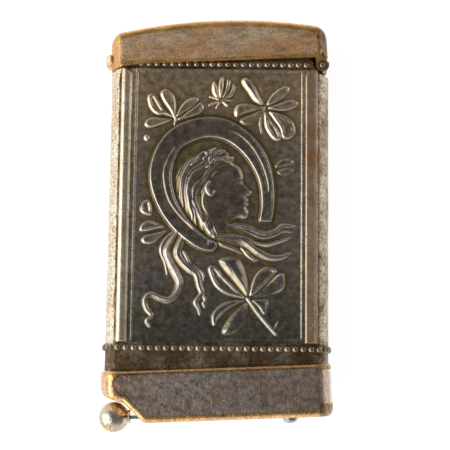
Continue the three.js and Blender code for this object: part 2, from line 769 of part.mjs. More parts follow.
// Guide stud: domed head under the base, shank through its slot, peened above the blade
function guideStud() {
  const under = -solderGap - washerThick - solderGap;
  const profile = [];
  const steps = 5;
  for (let i = 0; i <= steps; i += 1) {
    const angle = (Math.PI / 2) * (i / steps);
    profile.push([studHead * Math.sin(angle), under - studDome * Math.cos(angle)]);
  }
  const top = bladeTop + solderGap;
  profile.push([studRadius, under], [studRadius, top], [studTop, top], [studTop, top + studTopThick],
    [0, top + studTopThick]);
  const geometry = new THREE.LatheGeometry(profile.map((p) => new THREE.Vector2(...p)), 18);
  geometry.translate(studX, 0, zMid);
  return solid(geometry);
}

function studWasher() {
  const low = -solderGap - washerThick;
  return cut(
    barY(studX, zMid, washerRadius, low, -solderGap, 18),
    barY(studX, zMid, studRadius + runGap, -far, far, 18),
  );
}

// Finishes
const finishes = {
  nickel: { color: 0x9d968c, roughness: 0.4, metalness: 1.0 },
  dark: { color: 0x6e675f, roughness: 0.42, metalness: 1.0 },
  brass: { color: 0xa8844e, roughness: 0.4, metalness: 1.0 },
  steel: { color: 0x8a8c8f, roughness: 0.35, metalness: 1.0 },
};

function piece(group, name, shape, finish) {
  const { vertProperties, triVerts } = shape.getMesh();
  const geometry = new THREE.BufferGeometry();
  geometry.setAttribute('position', new THREE.BufferAttribute(new Float32Array(vertProperties), 3));
  geometry.setIndex(new THREE.BufferAttribute(new Uint32Array(triVerts), 1));
  geometry.computeVertexNormals();
  const mesh = new THREE.Mesh(geometry, new THREE.MeshStandardMaterial(finishes[finish]));
  mesh.name = name;
  group.add(mesh);
}

// A group turned about a point of the case
function turned(parent, x, y, degrees) {
  const outer = new THREE.Group();
  outer.position.set(x, y, 0);
  outer.rotation.z = radians(degrees);
  const inner = new THREE.Group();
  inner.position.set(-x, -y, 0);
  outer.add(inner);
  parent.add(outer);
  return inner;
}

const assembly = new THREE.Group();
const frontSide = new THREE.Group();
const backSide = new THREE.Group();
backSide.rotation.y = Math.PI;
backSide.position.z = caseDepth;
assembly.add(frontSide, backSide);
const lidGroup = turned(assembly, pinX, pinY, lidLean);
const baseGroup = turned(assembly, 0, baseHeight - basePivot, baseLean);

piece(assembly, 'body_tube', bodyTube(), 'nickel');
piece(assembly, 'neck_sleeve', neckSleeve(), 'brass');
piece(assembly, 'chamber_floor', chamberFloor(), 'brass');
piece(assembly, 'lower_bead_band', beadBand(), 'nickel');
piece(frontSide, 'front_panel', frontPanel(), 'dark');
piece(backSide, 'back_panel', panelSheet(), 'dark');
piece(frontSide, 'front_upper_bead_row', beadRow(), 'nickel');
piece(backSide, 'back_upper_bead_row', beadRow(), 'nickel');
piece(frontSide, 'front_right_rail', rail(1), 'nickel');
piece(frontSide, 'front_left_rail', rail(-1), 'nickel');
piece(backSide, 'back_left_rail', rail(1), 'nickel');
piece(backSide, 'back_right_rail', rail(-1), 'nickel');

piece(assembly, 'hinge_knuckle_front', hingeKnuckle(1), 'brass');
piece(assembly, 'hinge_knuckle_back', hingeKnuckle(-1), 'brass');
piece(assembly, 'hinge_pin', hingePin(), 'steel');
piece(assembly, 'lid_spring', lidSpring(), 'steel');
piece(assembly, 'spring_rivet', springRivet(), 'brass');

piece(lidGroup, 'lid_shell', lidShell(), 'nickel');
piece(lidGroup, 'lid_thumb_lip', thumbLip(), 'brass');
piece(lidGroup, 'lid_cam', lidCam(), 'brass');

piece(baseGroup, 'base_cap', baseCap(), 'nickel');
piece(baseGroup, 'striker_plate', strikerPlate(), 'steel');
piece(baseGroup, 'cutter_blade', cutterBlade(), 'steel');
piece(baseGroup, 'thumb_ball', thumbBall(), 'nickel');
piece(baseGroup, 'guide_stud', guideStud(), 'steel');
piece(baseGroup, 'stud_washer', studWasher(), 'brass');

// The origin lies under the middle of the case, on the plane that it rests on
const part = new THREE.Group();
part.name = 'match_safe';
part.add(assembly);
const bounds = new THREE.Box3().setFromObject(assembly, true);
const middle = bounds.getCenter(new THREE.Vector3());
assembly.position.set(-middle.x, -middle.y, -bounds.min.z);

export default part;
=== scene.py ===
import math

import bmesh
import bpy
import numpy as np
from mathutils import Matrix, Quaternion, Vector


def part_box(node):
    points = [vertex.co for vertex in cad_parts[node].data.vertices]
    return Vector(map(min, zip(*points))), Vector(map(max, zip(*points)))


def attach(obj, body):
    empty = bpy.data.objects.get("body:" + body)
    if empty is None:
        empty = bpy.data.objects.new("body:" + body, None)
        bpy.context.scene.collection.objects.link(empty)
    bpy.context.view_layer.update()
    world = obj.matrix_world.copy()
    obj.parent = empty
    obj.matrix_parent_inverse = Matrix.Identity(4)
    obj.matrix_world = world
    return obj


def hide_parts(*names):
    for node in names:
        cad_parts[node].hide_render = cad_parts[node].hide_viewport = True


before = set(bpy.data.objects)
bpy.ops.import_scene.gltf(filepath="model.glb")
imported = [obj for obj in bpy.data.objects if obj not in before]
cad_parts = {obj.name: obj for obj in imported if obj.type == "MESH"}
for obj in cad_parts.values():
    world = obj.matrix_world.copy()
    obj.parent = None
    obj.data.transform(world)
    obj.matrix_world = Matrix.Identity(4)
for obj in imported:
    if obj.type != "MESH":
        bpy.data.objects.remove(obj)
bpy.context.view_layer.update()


# Body tube. Brass sheet drawn into a flat-fronted oval tube and nickel plated; its bowed narrow sides stay in
# sight, dull and pitted. Both ends of the mouth are cut lower, for the thumb lip of the lid and for the hinge.
tube_width, tube_depth, tube_bow, tube_wall = 39.4, 9.6, 2.0, 0.5
tube_foot, tube_top, shoulder_top, notch_foot = 6.3, 62.8, 61.1, 60.5
shoulder_x, notch_x = -17.3, 17.0                # where the two lower parts of the mouth begin
middle = 5.9                                     # half the thickness of the whole case
low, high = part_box("body_tube")
origin = Vector(((low.x + high.x) * 500, low.y * 1000 - tube_foot, 0))   # heights are from just above the base's foot


def oval(width, depth, bow, inset=0.0, fillet=0.8, flat=None):
    """Outline of the case in x and z, clockwise from the front's left knee: flat front and back, bowed ends."""
    radius = (depth * depth / 4 + bow * bow) / (2 * bow)
    hub, big, half = width / 2 - radius, radius - inset, depth / 2 - inset
    small = max(fillet - inset, 0.12)
    knee = hub + math.sqrt((big - small) ** 2 - (half - small) ** 2)
    bend = math.atan2(half - small, knee - hub)
    flats = np.linspace(-knee, knee, 34)[1:-1] if flat is None else np.asarray(flat, float)
    corner = np.linspace(0, math.pi / 2 - bend, 6)[:-1]
    knees = np.column_stack([knee + small * np.sin(corner), half - small + small * np.cos(corner)])
    sweep = np.linspace(bend, 0, 12)
    ends = np.column_stack([hub + big * np.cos(sweep), big * np.sin(sweep)])
    right = np.vstack([knees, ends])
    front = np.vstack([right[::-1] * (-1, 1), np.column_stack([flats, np.full(len(flats), half)]), right])
    return front, np.vstack([front, front[-2:0:-1] * (1, -1)])


def closed_mesh(name, vertices, faces, thin=False):
    """A mesh drawn in millimetres from the case's foot, its doubles joined and its faces turned outward."""
    mesh = bpy.data.meshes.new(name)
    mesh.from_pydata([tuple(map(float, v)) for v in vertices], [], [tuple(map(int, f)) for f in faces])
    shape = bmesh.new()
    shape.from_mesh(mesh)
    bmesh.ops.remove_doubles(shape, verts=shape.verts, dist=0.0005)
    if thin:
        bmesh.ops.dissolve_degenerate(shape, edges=shape.edges, dist=0.0005)
    bmesh.ops.recalc_face_normals(shape, faces=shape.faces)
    shape.to_mesh(mesh)
    shape.free()
    return mesh


def linked(name, data):
    """An object put in the scene."""
    made = bpy.data.objects.new(name, data)
    bpy.context.scene.collection.objects.link(made)
    return made


def entered(name, mesh, body, slot, material, *nodes):
    """A piece on its body, with its colour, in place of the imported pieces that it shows."""
    mesh.materials.append(material)
    piece = linked(name, mesh)
    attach(piece, body)
    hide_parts(*nodes)
    return piece


def seat(name, mesh, body, slot, material, *nodes, lean=(0, 0, 0), sharp=35, **marks):
    """Shades a mesh, marks where its plate is worn, stained or painted with shade, and sets it in its place, turned
    by the lean.
    """
    mesh.shade_smooth()
    mesh.set_sharp_from_angle(angle=math.radians(sharp))
    points = np.array([v.co for v in mesh.vertices])
    normals = np.array([n.vector for n in mesh.vertex_normals])
    for key, share in marks.items():
        values = np.clip(share(points, normals), 0, 1) + np.zeros(len(points))
        mesh.attributes.new(key, "FLOAT", "POINT").data.foreach_set("value", values.astype(np.float32))
    turn, x, y = lean
    pivot = Vector((x, y, 0))
    mesh.transform(Matrix.Scale(0.001, 4) @ Matrix.Translation(origin + pivot)
                   @ Matrix.Rotation(math.radians(turn), 4, "Z") @ Matrix.Translation(-pivot))
    return entered(name, mesh, body, slot, material, *nodes)


def make(name, drawn, *entry, **how):
    """A piece drawn as points and faces, set in its place."""
    return seat(name, closed_mesh(name, *drawn), *entry, **how)


def ring_faces(rings, count):
    """Quads between equal closed rings of points, one ring after another."""
    return [(r * count + i, r * count + (i + 1) % count, (r + 1) * count + (i + 1) % count, (r + 1) * count + i)
            for r in range(rings - 1) for i in range(count)]


def sleeve(outer, inner, foot, tops, rows):
    """A tube wall between two outlines, from its foot up to a height for each point of the outline."""
    count, rings = len(outer), []
    levels = np.linspace(0, 1, rows)
    for outline, order in ((outer, levels), (inner, levels[::-1])):
        for level in order:
            rings.append(np.column_stack([outline[:, 0], foot + (tops - foot) * level, outline[:, 1] + middle]))
    rings.append(rings[0])
    return np.vstack(rings), ring_faces(len(rings), count)


def add(tree, kind, links=(), **settings):
    """One shader node, its settings, and what feeds each of its sockets."""
    made = tree.nodes.new(kind)
    for key, value in settings.items():
        setattr(made, key, value)
    for key, value in dict(links).items():
        if isinstance(value, bpy.types.NodeSocket):
            tree.links.new(value, made.inputs[key])
        else:
            made.inputs[key].default_value = value
    return made


def calc(tree, operation, a, b=0.0, clamp=False):
    """One sum on two values."""
    return add(tree, "ShaderNodeMath", {0: a, 1: b}, operation=operation, use_clamp=clamp).outputs[0]


def sway(tree, value, by):
    """Noise taken from its middle, times a factor."""
    return calc(tree, "MULTIPLY", calc(tree, "SUBTRACT", value, 0.5), by)


def weighed(tree, a, a_share, b, b_share):
    """The sum of two values, each by its share."""
    return calc(tree, "ADD", calc(tree, "MULTIPLY", a, a_share), calc(tree, "MULTIPLY", b, b_share))


def ramp(tree, value, start, stop, low=0.0, high=1.0):
    """Smooth step from low at start to high at stop."""
    return add(tree, "ShaderNodeMapRange", {"Value": value, "From Min": start, "From Max": stop, "To Min": low,
               "To Max": high}, interpolation_type="SMOOTHSTEP").outputs[0]


def mix(tree, share, a, b):
    """One colour turning into another by a share."""
    return add(tree, "ShaderNodeMix", {0: share, 6: a, 7: b}, data_type="RGBA").outputs[2]


def tinted(tree, colour, shade):
    """A colour times a shade."""
    return add(tree, "ShaderNodeMix", {0: 1.0, 6: colour, 7: shade}, data_type="RGBA",
               blend_type="MULTIPLY").outputs[2]


def mark(tree, name):
    """One of the values laid on a mesh."""
    return add(tree, "ShaderNodeAttribute", attribute_name=name).outputs["Fac"]


def emptied(owner):
    """The node tree of a material or of the room, with nothing in it."""
    owner.use_nodes = True
    owner.node_tree.nodes.clear()
    return owner.node_tree


def in_millimetres(tree):
    """Places on a piece."""
    return add(tree, "ShaderNodeVectorMath", {0: add(tree, "ShaderNodeTexCoord").outputs["Object"], "Scale": 1000.0},
               operation="SCALE").outputs[0]


def stretched(tree, place, by):
    """Places with another scale each way, so that what is drawn on them runs one way."""
    return add(tree, "ShaderNodeVectorMath", {0: place, 1: by}, operation="MULTIPLY").outputs[0]


def metal(tree, colour, sheen, height, depth):
    """The end of a material: metal of a colour and roughness, with a fine relief."""
    fine = add(tree, "ShaderNodeBump", {"Height": height, "Strength": depth, "Distance": 0.00006})
    shader = add(tree, "ShaderNodeBsdfPrincipled", {"Base Color": colour, "Roughness": sheen, "Metallic": 1.0,
                 "Normal": fine.outputs[0]})
    add(tree, "ShaderNodeOutputMaterial", {"Surface": shader.outputs[0]})


def noise(tree, place, scale, detail=4.0, rough=0.55):
    """Cloudy unevenness, so many patches to the millimetre."""
    return add(tree, "ShaderNodeTexNoise", {"Vector": place, "Scale": scale, "Detail": detail,
               "Roughness": rough}).outputs[0]


def hairlines(tree, place, turn, fine, long):
    """Sparse thin scratches that run one way."""
    turned = add(tree, "ShaderNodeVectorRotate", {"Vector": place, "Angle": math.radians(turn)},
                 rotation_type="Z_AXIS")
    drawn = stretched(tree, turned.outputs[0], (fine, 1 / long, 1.0))
    return ramp(tree, noise(tree, drawn, 1.0, 2.0, 0.5), 0.60, 0.72)


def plate(name, skin, blush, bare, rough, pits=0.4, pit_size=0.5, scratch=0.0, speckle=0.0, uneven_by=1.0, depth=0.5,
          drawn=1.0):
    """Old plating: patched in two tones, worn through to the metal under it, stained and painted with shade, pitted
    and scratched.
    """
    material = bpy.data.materials.new(name)
    tree = emptied(material)
    place = in_millimetres(tree)
    rubbed = stretched(tree, place, (drawn, 1.0, 1.0))
    cloud, mottle = noise(tree, rubbed, 0.2, 5.0, 0.6), noise(tree, rubbed, 1.0, 6.0, 0.68)
    grain = noise(tree, place, 5.0, 3.0, 0.6)
    uneven = calc(tree, "ADD", sway(tree, mottle, 0.9), sway(tree, cloud, 0.8))
    colour = mix(tree, ramp(tree, weighed(tree, cloud, 0.6, mottle, 0.4), 0.41, 0.59), skin, blush)
    through = ramp(tree, calc(tree, "ADD", mark(tree, "worn"), calc(tree, "MULTIPLY", uneven, 0.8)), 0.3, 0.65)
    colour = mix(tree, through, colour, bare)
    # Stains and painted shade both darken the plating here, as marked on each piece.
    dirt_and_shade = ramp(tree, calc(tree, "ADD", mark(tree, "stain"), uneven), 0.2, 0.85)
    colour = mix(tree, dirt_and_shade, colour, (0.10, 0.062, 0.032, 1))
    shade = calc(tree, "ADD", sway(tree, grain, 0.9 * uneven_by), sway(tree, mottle, 1.1 * uneven_by))
    colour = tinted(tree, colour, calc(tree, "ADD", shade, 1.0))
    cells = add(tree, "ShaderNodeTexVoronoi", {"Vector": place, "Scale": 1 / pit_size}).outputs["Distance"]
    holes = calc(tree, "MULTIPLY", ramp(tree, cells, 0.36, 0.14), ramp(tree, mottle, 0.40, 0.56))
    flecks = ramp(tree, noise(tree, place, 2.6, 2.0, 0.7), 0.47, 0.60, 0.0, speckle)
    colour = mix(tree, flecks, colour, (0.16, 0.105, 0.055, 1))
    colour = mix(tree, calc(tree, "MULTIPLY", holes, pits), colour, (0.04, 0.026, 0.014, 1))
    scored = calc(tree, "MAXIMUM", hairlines(tree, place, 24, 7.0, 2.4), hairlines(tree, place, -52, 8.0, 1.8))
    scored = calc(tree, "MULTIPLY", calc(tree, "MAXIMUM", scored, hairlines(tree, place, -8, 6.0, 3.5)), scratch)
    colour = mix(tree, scored, colour, (0.74, 0.68, 0.62, 1))
    sheen = calc(tree, "ADD", sway(tree, mottle, 0.35), rough)
    sheen = calc(tree, "ADD", sheen, calc(tree, "MULTIPLY", calc(tree, "MAXIMUM", holes, dirt_and_shade), 0.2), True)
    sheen = calc(tree, "SUBTRACT", sheen, calc(tree, "MULTIPLY", through, 0.08), True)
    relief = calc(tree, "SUBTRACT", calc(tree, "MULTIPLY", grain, 0.5), calc(tree, "MULTIPLY", holes, pits))
    relief = calc(tree, "SUBTRACT", relief, calc(tree, "MULTIPLY", calc(tree, "ADD", scored, flecks), 0.4))
    metal(tree, colour, sheen, relief, depth)
    return material


outer = oval(tube_width, tube_depth, tube_bow)[1]
inner = oval(tube_width, tube_depth, tube_bow, tube_wall)[1]
tops = np.where(outer[:, 0] < shoulder_x, shoulder_top, np.where(outer[:, 0] > notch_x, notch_foot, tube_top))
points, faces = sleeve(outer, inner, tube_foot, tops, 40)
wave = np.random.default_rng(3).uniform(0, 6.28, 4)
swell = sum(np.sin(points[:, 1] * k + points[:, 2] * 0.7 * k + w) for k, w in zip((0.31, 0.47, 0.83, 1.3), wave))
points[:, 0] += np.where(np.abs(points[:, 0]) > 18.0, 0.012, 0.0) * swell * np.sign(points[:, 0])


def tube_wear(p, n):
    """The bowed sides are rubbed, the right one more, and most near the lid."""
    sides = 0.27 * (p[:, 0] < 0) + 0.34 * (p[:, 0] > 0) + 0.12 * (p[:, 1] > 50)
    return sides * (np.abs(n[:, 2]) < 0.7)


def tube_stain(p, n):
    """Dark where the trim covers the front and round the foot; the half dark on the right side is painted shade, on
    the side turned from the lamp.
    """
    front = 0.7 * (np.abs(n[:, 2]) > 0.7) * (p[:, 0] < 17.3)
    return np.maximum.reduce([front, 0.5 * (p[:, 0] > 0), 0.72 * (p[:, 1] < 12)])


case_plate = plate("worn_nickel_side", (0.86, 0.78, 0.62, 1), (0.80, 0.62, 0.44, 1), (0.84, 0.58, 0.38, 1), 0.38,
                   pits=0.95, pit_size=0.7, speckle=0.55, uneven_by=1.9, depth=0.9)
make("body_tube_shell", (points, faces), "case", "case_plate", case_plate, "body_tube", worn=tube_wear,
     stain=tube_stain)


# Neck sleeve and chamber floor. Brass sheet soldered inside the tube: the sleeve stands up to steady the lid
# and is open on the hinge side; the floor parts the matches from the cutter's clippings.
def dressed(name, node, body, slot, material, bevel=0.06, sharp=30):
    """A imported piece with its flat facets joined, its edges eased and its round faces shaded smooth."""
    shape = bmesh.new()
    shape.from_mesh(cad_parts[node].data)
    bmesh.ops.remove_doubles(shape, verts=shape.verts, dist=1e-7)
    bmesh.ops.dissolve_limit(shape, angle_limit=math.radians(0.6), verts=shape.verts, edges=shape.edges)
    mesh = bpy.data.meshes.new(name)
    shape.to_mesh(mesh)
    shape.free()
    mesh.shade_smooth()
    mesh.set_sharp_from_angle(angle=math.radians(sharp))
    piece = entered(name, mesh, body, slot, material, node)
    eased = piece.modifiers.new("eased", "BEVEL")
    eased.width, eased.segments, eased.limit_method = bevel / 1000, 2, "ANGLE"
    eased.angle_limit, eased.harden_normals = math.radians(sharp), True


inner_brass = plate("dull_brass", (0.60, 0.44, 0.20, 1), (0.42, 0.29, 0.13, 1), (0.48, 0.33, 0.15, 1), 0.42,
                    pits=0.4, pit_size=0.8, scratch=0.3)
dressed("neck_sleeve_sheet", "neck_sleeve", "case", "inner_brass", inner_brass, 0.1)
dressed("chamber_floor_sheet", "chamber_floor", "case", "inner_brass", inner_brass, 0.1)


# Front panel. Thin sheet struck in a die with a horseshoe, a head with flowing hair, clovers and sprigs, silver
# plated and tarnished in the hollows, with painted shade deepening them and a painted highlight on the crests.
# It is soldered to the tube, its side edges tucked under the rails.
panel_half, panel_low, panel_top, panel_seat, panel_ground = 15.75, 12.65, 61.0, 10.8, 11.1
cell = 0.1
xs = np.linspace(-panel_half, panel_half, int(2 * panel_half / cell) + 1)
ys = np.linspace(panel_low, panel_top, int((panel_top - panel_low) / cell) + 1)
gx, gy = np.meshgrid(xs, ys)
relief = np.zeros_like(gx)


def smooth(points, closed=False, per=8):
    """A smooth line through a few points."""
    p = np.asarray(points, float)
    p = np.vstack([p[-1:], p, p[:2]]) if closed else np.vstack([2 * p[0] - p[1], p, 2 * p[-1] - p[-2]])
    line = []
    for a, b, c, d in zip(p, p[1:], p[2:], p[3:]):
        for t in np.arange(per) / per:
            line.append(0.5 * (2 * b + (c - a) * t + (2 * a - 5 * b + 4 * c - d) * t * t
                               + (3 * b - a - 3 * c + d) * t ** 3))
    return np.array(line + [line[0] if closed else p[-2]])


def near(line, reach):
    """The part of the sheet within reach of a line: distance from it, side of it, and share along it."""
    columns = np.searchsorted(xs, (line[:, 0].min() - reach, line[:, 0].max() + reach))
    rows = np.searchsorted(ys, (line[:, 1].min() - reach, line[:, 1].max() + reach))
    part = (slice(*rows), slice(*columns))
    x, y = gx[part], gy[part]
    away, share, side = np.full(x.shape, 1e9), np.zeros(x.shape), np.ones(x.shape)
    steps = np.hypot(*np.diff(line, axis=0).T)
    run = np.concatenate([[0], np.cumsum(steps)])
    for i, (a, d) in enumerate(zip(line, np.diff(line, axis=0))):
        t = np.clip(((x - a[0]) * d[0] + (y - a[1]) * d[1]) / max(d @ d, 1e-9), 0, 1)
        dx, dy = x - a[0] - t * d[0], y - a[1] - t * d[1]
        distance = np.hypot(dx, dy)
        closer = distance < away
        away = np.where(closer, distance, away)
        share = np.where(closer, (run[i] + t * steps[i]) / run[-1], share)
        side = np.where(closer, np.where(d[0] * dy - d[1] * dx < 0, -1.0, 1.0), side)
    return part, away, side, share


def within(line, part):
    """Which cells of a part of the sheet lie inside a closed line."""
    x, y = gx[part], gy[part]
    found = np.zeros(x.shape, bool)
    for (x0, y0), (x1, y1) in zip(line, line[1:]):
        if y0 != y1:
            found ^= ((y0 > y) != (y1 > y)) & (x < (x1 - x0) * (y - y0) / (y1 - y0) + x0)
    return found


def depth_in(line):
    """The part of the sheet round a closed line, and how far each cell lies inside the line."""
    part, away, _, _ = near(line, 0.4)
    return part, np.where(within(line, part), away, -away)


def lift(part, value, soft=0.05):
    """Raises the sheet to a height where that is higher, with a soft join."""
    old = relief[part]
    relief[part] = np.maximum(old, 0.5 * (old + value + np.sqrt((old - value) ** 2 + soft ** 2) - soft))


def step(value):
    """Smooth rise from 0 to 1."""
    value = np.clip(value, 0, 1)
    return value * value * (3 - 2 * value)


def lobe(points, height, roll=0.7, dish=0.0, veins=None, root=None):
    """One half of a leaf: domed right across, or dished inside a raised rim.

    It may have veins and may rise from its root.
    """
    part, depth = depth_in(smooth(points, True))
    rise = np.clip(depth / (roll if dish else 1.05 * depth.max()) + 0.1, 0, 1)
    form = height * (1 - (1 - rise) ** 2 - 0.75 * dish * step((depth - 0.2) / (0.6 * depth.max())))
    if root is not None:
        far = np.hypot(gx[part] - root[0], gy[part] - root[1])
        form = form * (0.25 + 0.75 * np.minimum(far / (0.92 * far[depth > 0].max()), 1) ** 3)
    if veins is not None:
        a = math.radians(veins)
        across = gx[part] * math.cos(a) + gy[part] * math.sin(a)
        form = form + 0.014 * np.sin(across * 13) * step((depth - 0.15) / 0.5)
    lift(part, form)


def strand(points, width, height, root=0.4, tip=0.15, ply=1, on_top=False, broad=0.0):
    """A lock, stem or rib that tapers to its tip, of one or more threads.

    One flank may be broader, and it may lie on top of what is under it.
    """
    line = smooth(points, per=7)
    part, away, side, share = near(line, width)
    half = width / 2 * np.minimum(1, root + (1 - root) * share / 0.2) * (tip + (1 - tip) * np.sqrt(1 - share))
    half = half * (1 - broad * side)
    across = np.clip(away / half, 0, 1)
    form = 1 - across ** 2
    if ply > 1:
        form = form * (0.87 + 0.13 * np.cos(side * across * math.pi * ply + 5 * share))
    if on_top:
        relief[part] += height * form * (away < half)
    else:
        lift(part, height * form * np.minimum(1, 0.2 + 1.6 * half / width))


def groove(points, width, depth):
    """A round-bottomed line sunk into the sheet, fading at both ends."""
    line = smooth(points, per=8)
    part, away, _, share = near(line, 3 * width)
    relief[part] -= depth * np.exp(-(away / width) ** 2) * step(share / 0.06) * step((1 - share) / 0.06)


def bump(x, y, width, height):
    """A soft round rise, or a hollow where its height is negative."""
    relief[:] += height * np.exp(-((gx - x) ** 2 + (gy - y) ** 2) / width ** 2)


# Sprigs and clovers: each leaf folds along its middle, one half domed and the other dished
lobe([(4.8, 20.3), (2.8, 20.6), (1.1, 21.2), (-0.3, 22.3), (-1.1, 23.7), (-1.6, 25.4), (-0.9, 26.0), (0.1, 25.4),
      (1.0, 24.3), (2.5, 22.9), (3.9, 21.5)], 0.36, 0.45, 0.85, 40)
lobe([(5.1, 20.8), (3.8, 22.2), (2.5, 23.8), (1.1, 25.4), (0.3, 26.8), (1.0, 27.3), (2.3, 27.5), (3.6, 27.1),
      (4.5, 25.7), (5.1, 23.6), (5.4, 21.6)], 0.6, veins=32)
lobe([(5.6, 20.8), (5.8, 22.4), (6.4, 24.1), (7.4, 25.3), (8.7, 25.9), (10.0, 25.5), (10.3, 24.7), (9.1, 23.5),
      (8.0, 22.4), (6.5, 21.1)], 0.38, 0.45, 0.85)
lobe([(6.1, 20.6), (7.7, 21.9), (9.0, 23.3), (10.3, 24.6), (11.4, 24.9), (11.8, 23.9), (11.7, 22.4), (10.9, 21.5),
      (9.4, 21.0), (7.7, 20.6)], 0.72, 0.6, 0.01, 114, root=(6.0, 20.4))
lobe([(4.8, 20.0), (2.8, 20.0), (1.1, 19.5), (-0.2, 18.5), (-0.9, 17.2), (-0.7, 15.7), (-0.2, 15.7), (0.5, 16.8),
      (2.0, 18.3), (3.7, 19.4)], 0.42, 0.45, 0.8)
lobe([(5.1, 19.6), (3.8, 18.6), (2.5, 17.3), (1.6, 16.0), (1.0, 14.5), (1.9, 14.0), (3.1, 14.4), (4.3, 15.4),
      (5.1, 16.9), (5.3, 18.6)], 0.52, veins=-33)
lobe([(6.0, 20.0), (7.7, 20.2), (8.7, 20.1), (8.9, 18.9), (8.2, 17.5), (7.1, 18.9)], 0.26, 0.4, 0.7)
strand([(5.2, 20.3), (6.4, 18.6), (8.0, 16.6), (10.2, 14.1)], 0.7, 0.42, 0.8, 0.6)
strand([(10.5, 16.4), (10.2, 15.5), (9.6, 14.9)], 0.5, 0.22, 0.5, 0.5)

lobe([(7.6, 54.7), (6.1, 55.3), (4.9, 57.0), (4.0, 58.3), (3.9, 59.2), (4.9, 59.6), (6.0, 58.4), (6.9, 56.7)], 0.6,
     veins=37)
lobe([(7.7, 54.9), (6.8, 56.4), (5.6, 58.2), (4.9, 59.5), (6.1, 59.6), (7.1, 58.5), (7.7, 56.7)], 0.13)
lobe([(8.5, 54.6), (8.8, 55.8), (9.8, 57.0), (11.2, 57.9), (12.2, 57.9), (12.0, 56.7), (10.4, 55.4)], 0.28, 0.4, 0.6)
lobe([(8.6, 54.1), (10.4, 54.9), (12.1, 55.5), (13.6, 55.4), (13.7, 54.5), (11.9, 53.7), (10.1, 53.7)], 0.3, 0.4, 0.6)
lobe([(7.6, 54.1), (6.0, 54.7), (4.2, 54.8), (3.0, 54.4), (2.6, 53.3), (3.0, 52.4), (4.2, 52.9), (6.0, 53.5)], 0.44)
lobe([(7.4, 53.7), (6.0, 53.0), (4.5, 52.4), (3.6, 51.7), (4.5, 50.9), (6.0, 51.2), (7.2, 52.5)], 0.3)
lobe([(8.0, 53.4), (7.9, 51.9), (8.2, 50.4), (9.1, 48.9), (10.1, 48.2), (11.0, 48.7), (10.4, 50.4), (9.2, 52.0)],
     0.44, 0.6, 0.7)
lobe([(8.8, 53.4), (10.7, 53.1), (12.5, 52.2), (13.3, 51.0), (13.4, 49.5), (12.3, 48.5),
      (11.1, 48.8), (10.6, 50.4), (9.5, 52.0)], 0.44, 0.6, 0.55, 40)
strand([(7.9, 54.2), (7.2, 51.6), (7.5, 49.4)], 0.5, 0.2, 0.8, 0.5)

lobe([(0.0, 55.3), (-1.2, 56.4), (-1.4, 58.1), (-0.9, 58.8), (-0.3, 57.7)], 0.42)
lobe([(0.2, 55.5), (-0.4, 57.3), (-0.1, 59.0), (0.6, 59.6), (0.8, 57.7)], 0.5)
lobe([(0.4, 55.5), (0.9, 57.5), (1.2, 59.1), (1.9, 58.8), (1.7, 57.1)], 0.42)
lobe([(0.6, 55.5), (1.7, 56.8), (2.3, 58.4), (2.8, 57.6), (2.3, 56.2)], 0.36)
for tip in ((-1.9, 54.4), (1.4, 54.3), (-1.8, 56.0), (2.3, 55.4), (-0.6, 53.9)):
    strand([(0.3, 55.3), ((0.3 + tip[0]) / 2, (55.5 + tip[1]) / 2), tip], 0.6, 0.34, 0.8, 0.4)

lobe([(-8.0, 52.3), (-9.9, 52.7), (-10.8, 52.6), (-11.9, 53.3), (-12.6, 54.6), (-12.7, 56.1), (-11.6, 56.4),
      (-10.7, 55.2), (-9.8, 53.8)], 0.42, 0.6, 0.75)
lobe([(-8.2, 52.3), (-9.1, 53.8), (-10.0, 55.1), (-10.5, 56.5), (-10.0, 57.2), (-9.1, 57.2), (-8.2, 56.3),
      (-7.8, 55.0), (-7.7, 53.5), (-7.9, 52.3)], 0.44, 0.6, 0.35, 35)
lobe([(-7.6, 52.3), (-7.3, 53.5), (-6.4, 54.8), (-5.3, 55.6), (-4.1, 55.8), (-3.8, 55.2), (-4.7, 54.1), (-6.1, 53.2)],
     0.34, 0.5, 0.5)
lobe([(-7.4, 51.8), (-6.1, 52.9), (-4.7, 54.0), (-3.5, 54.9), (-2.9, 54.3), (-3.0, 53.4), (-4.0, 52.6), (-5.8, 52.0)],
     0.36, 0.5, 0.4, 40)
lobe([(-8.5, 51.8), (-10.2, 52.1), (-11.7, 52.2), (-12.9, 51.6), (-13.1, 50.7), (-12.2, 50.3), (-10.8, 50.7),
      (-9.3, 51.3)], 0.38, 0.5, 0.5, 70)
lobe([(-13.2, 48.3), (-13.1, 48.9), (-12.5, 48.9), (-12.3, 48.2), (-12.8, 47.9)], 0.3)
strand([(-7.9, 50.9), (-7.8, 52.0), (-8.6, 53.9), (-9.3, 55.8)], 0.35, 0.34, 0.8, 0.3)

lobe([(-12.0, 37.3), (-13.0, 37.2), (-13.6, 36.4), (-13.6, 35.4), (-12.8, 34.8), (-11.7, 34.7), (-11.5, 35.8)],
     0.42, 0.5, 0.8)
lobe([(-9.4, 32.6), (-10.4, 33.4), (-11.9, 33.8), (-13.1, 33.3), (-13.6, 32.6), (-13.5, 31.9), (-12.2, 31.9),
      (-10.7, 32.3)], 0.4, 0.5, 0.7)
lobe([(-9.2, 31.9), (-11.3, 31.5), (-12.7, 31.1), (-13.3, 30.4), (-12.8, 29.7), (-11.5, 29.7), (-10.4, 30.4)], 0.38,
     0.5, 0.6)
lobe([(9.9, 43.5), (10.7, 44.6), (11.9, 45.0), (12.9, 44.7), (12.9, 44.0), (11.3, 43.5)], 0.19, 0.3, 0.9)
lobe([(10.3, 42.6), (11.3, 43.2), (12.6, 43.4), (13.1, 42.8), (12.4, 42.1), (11.0, 42.0)], 0.18, 0.3, 0.9)

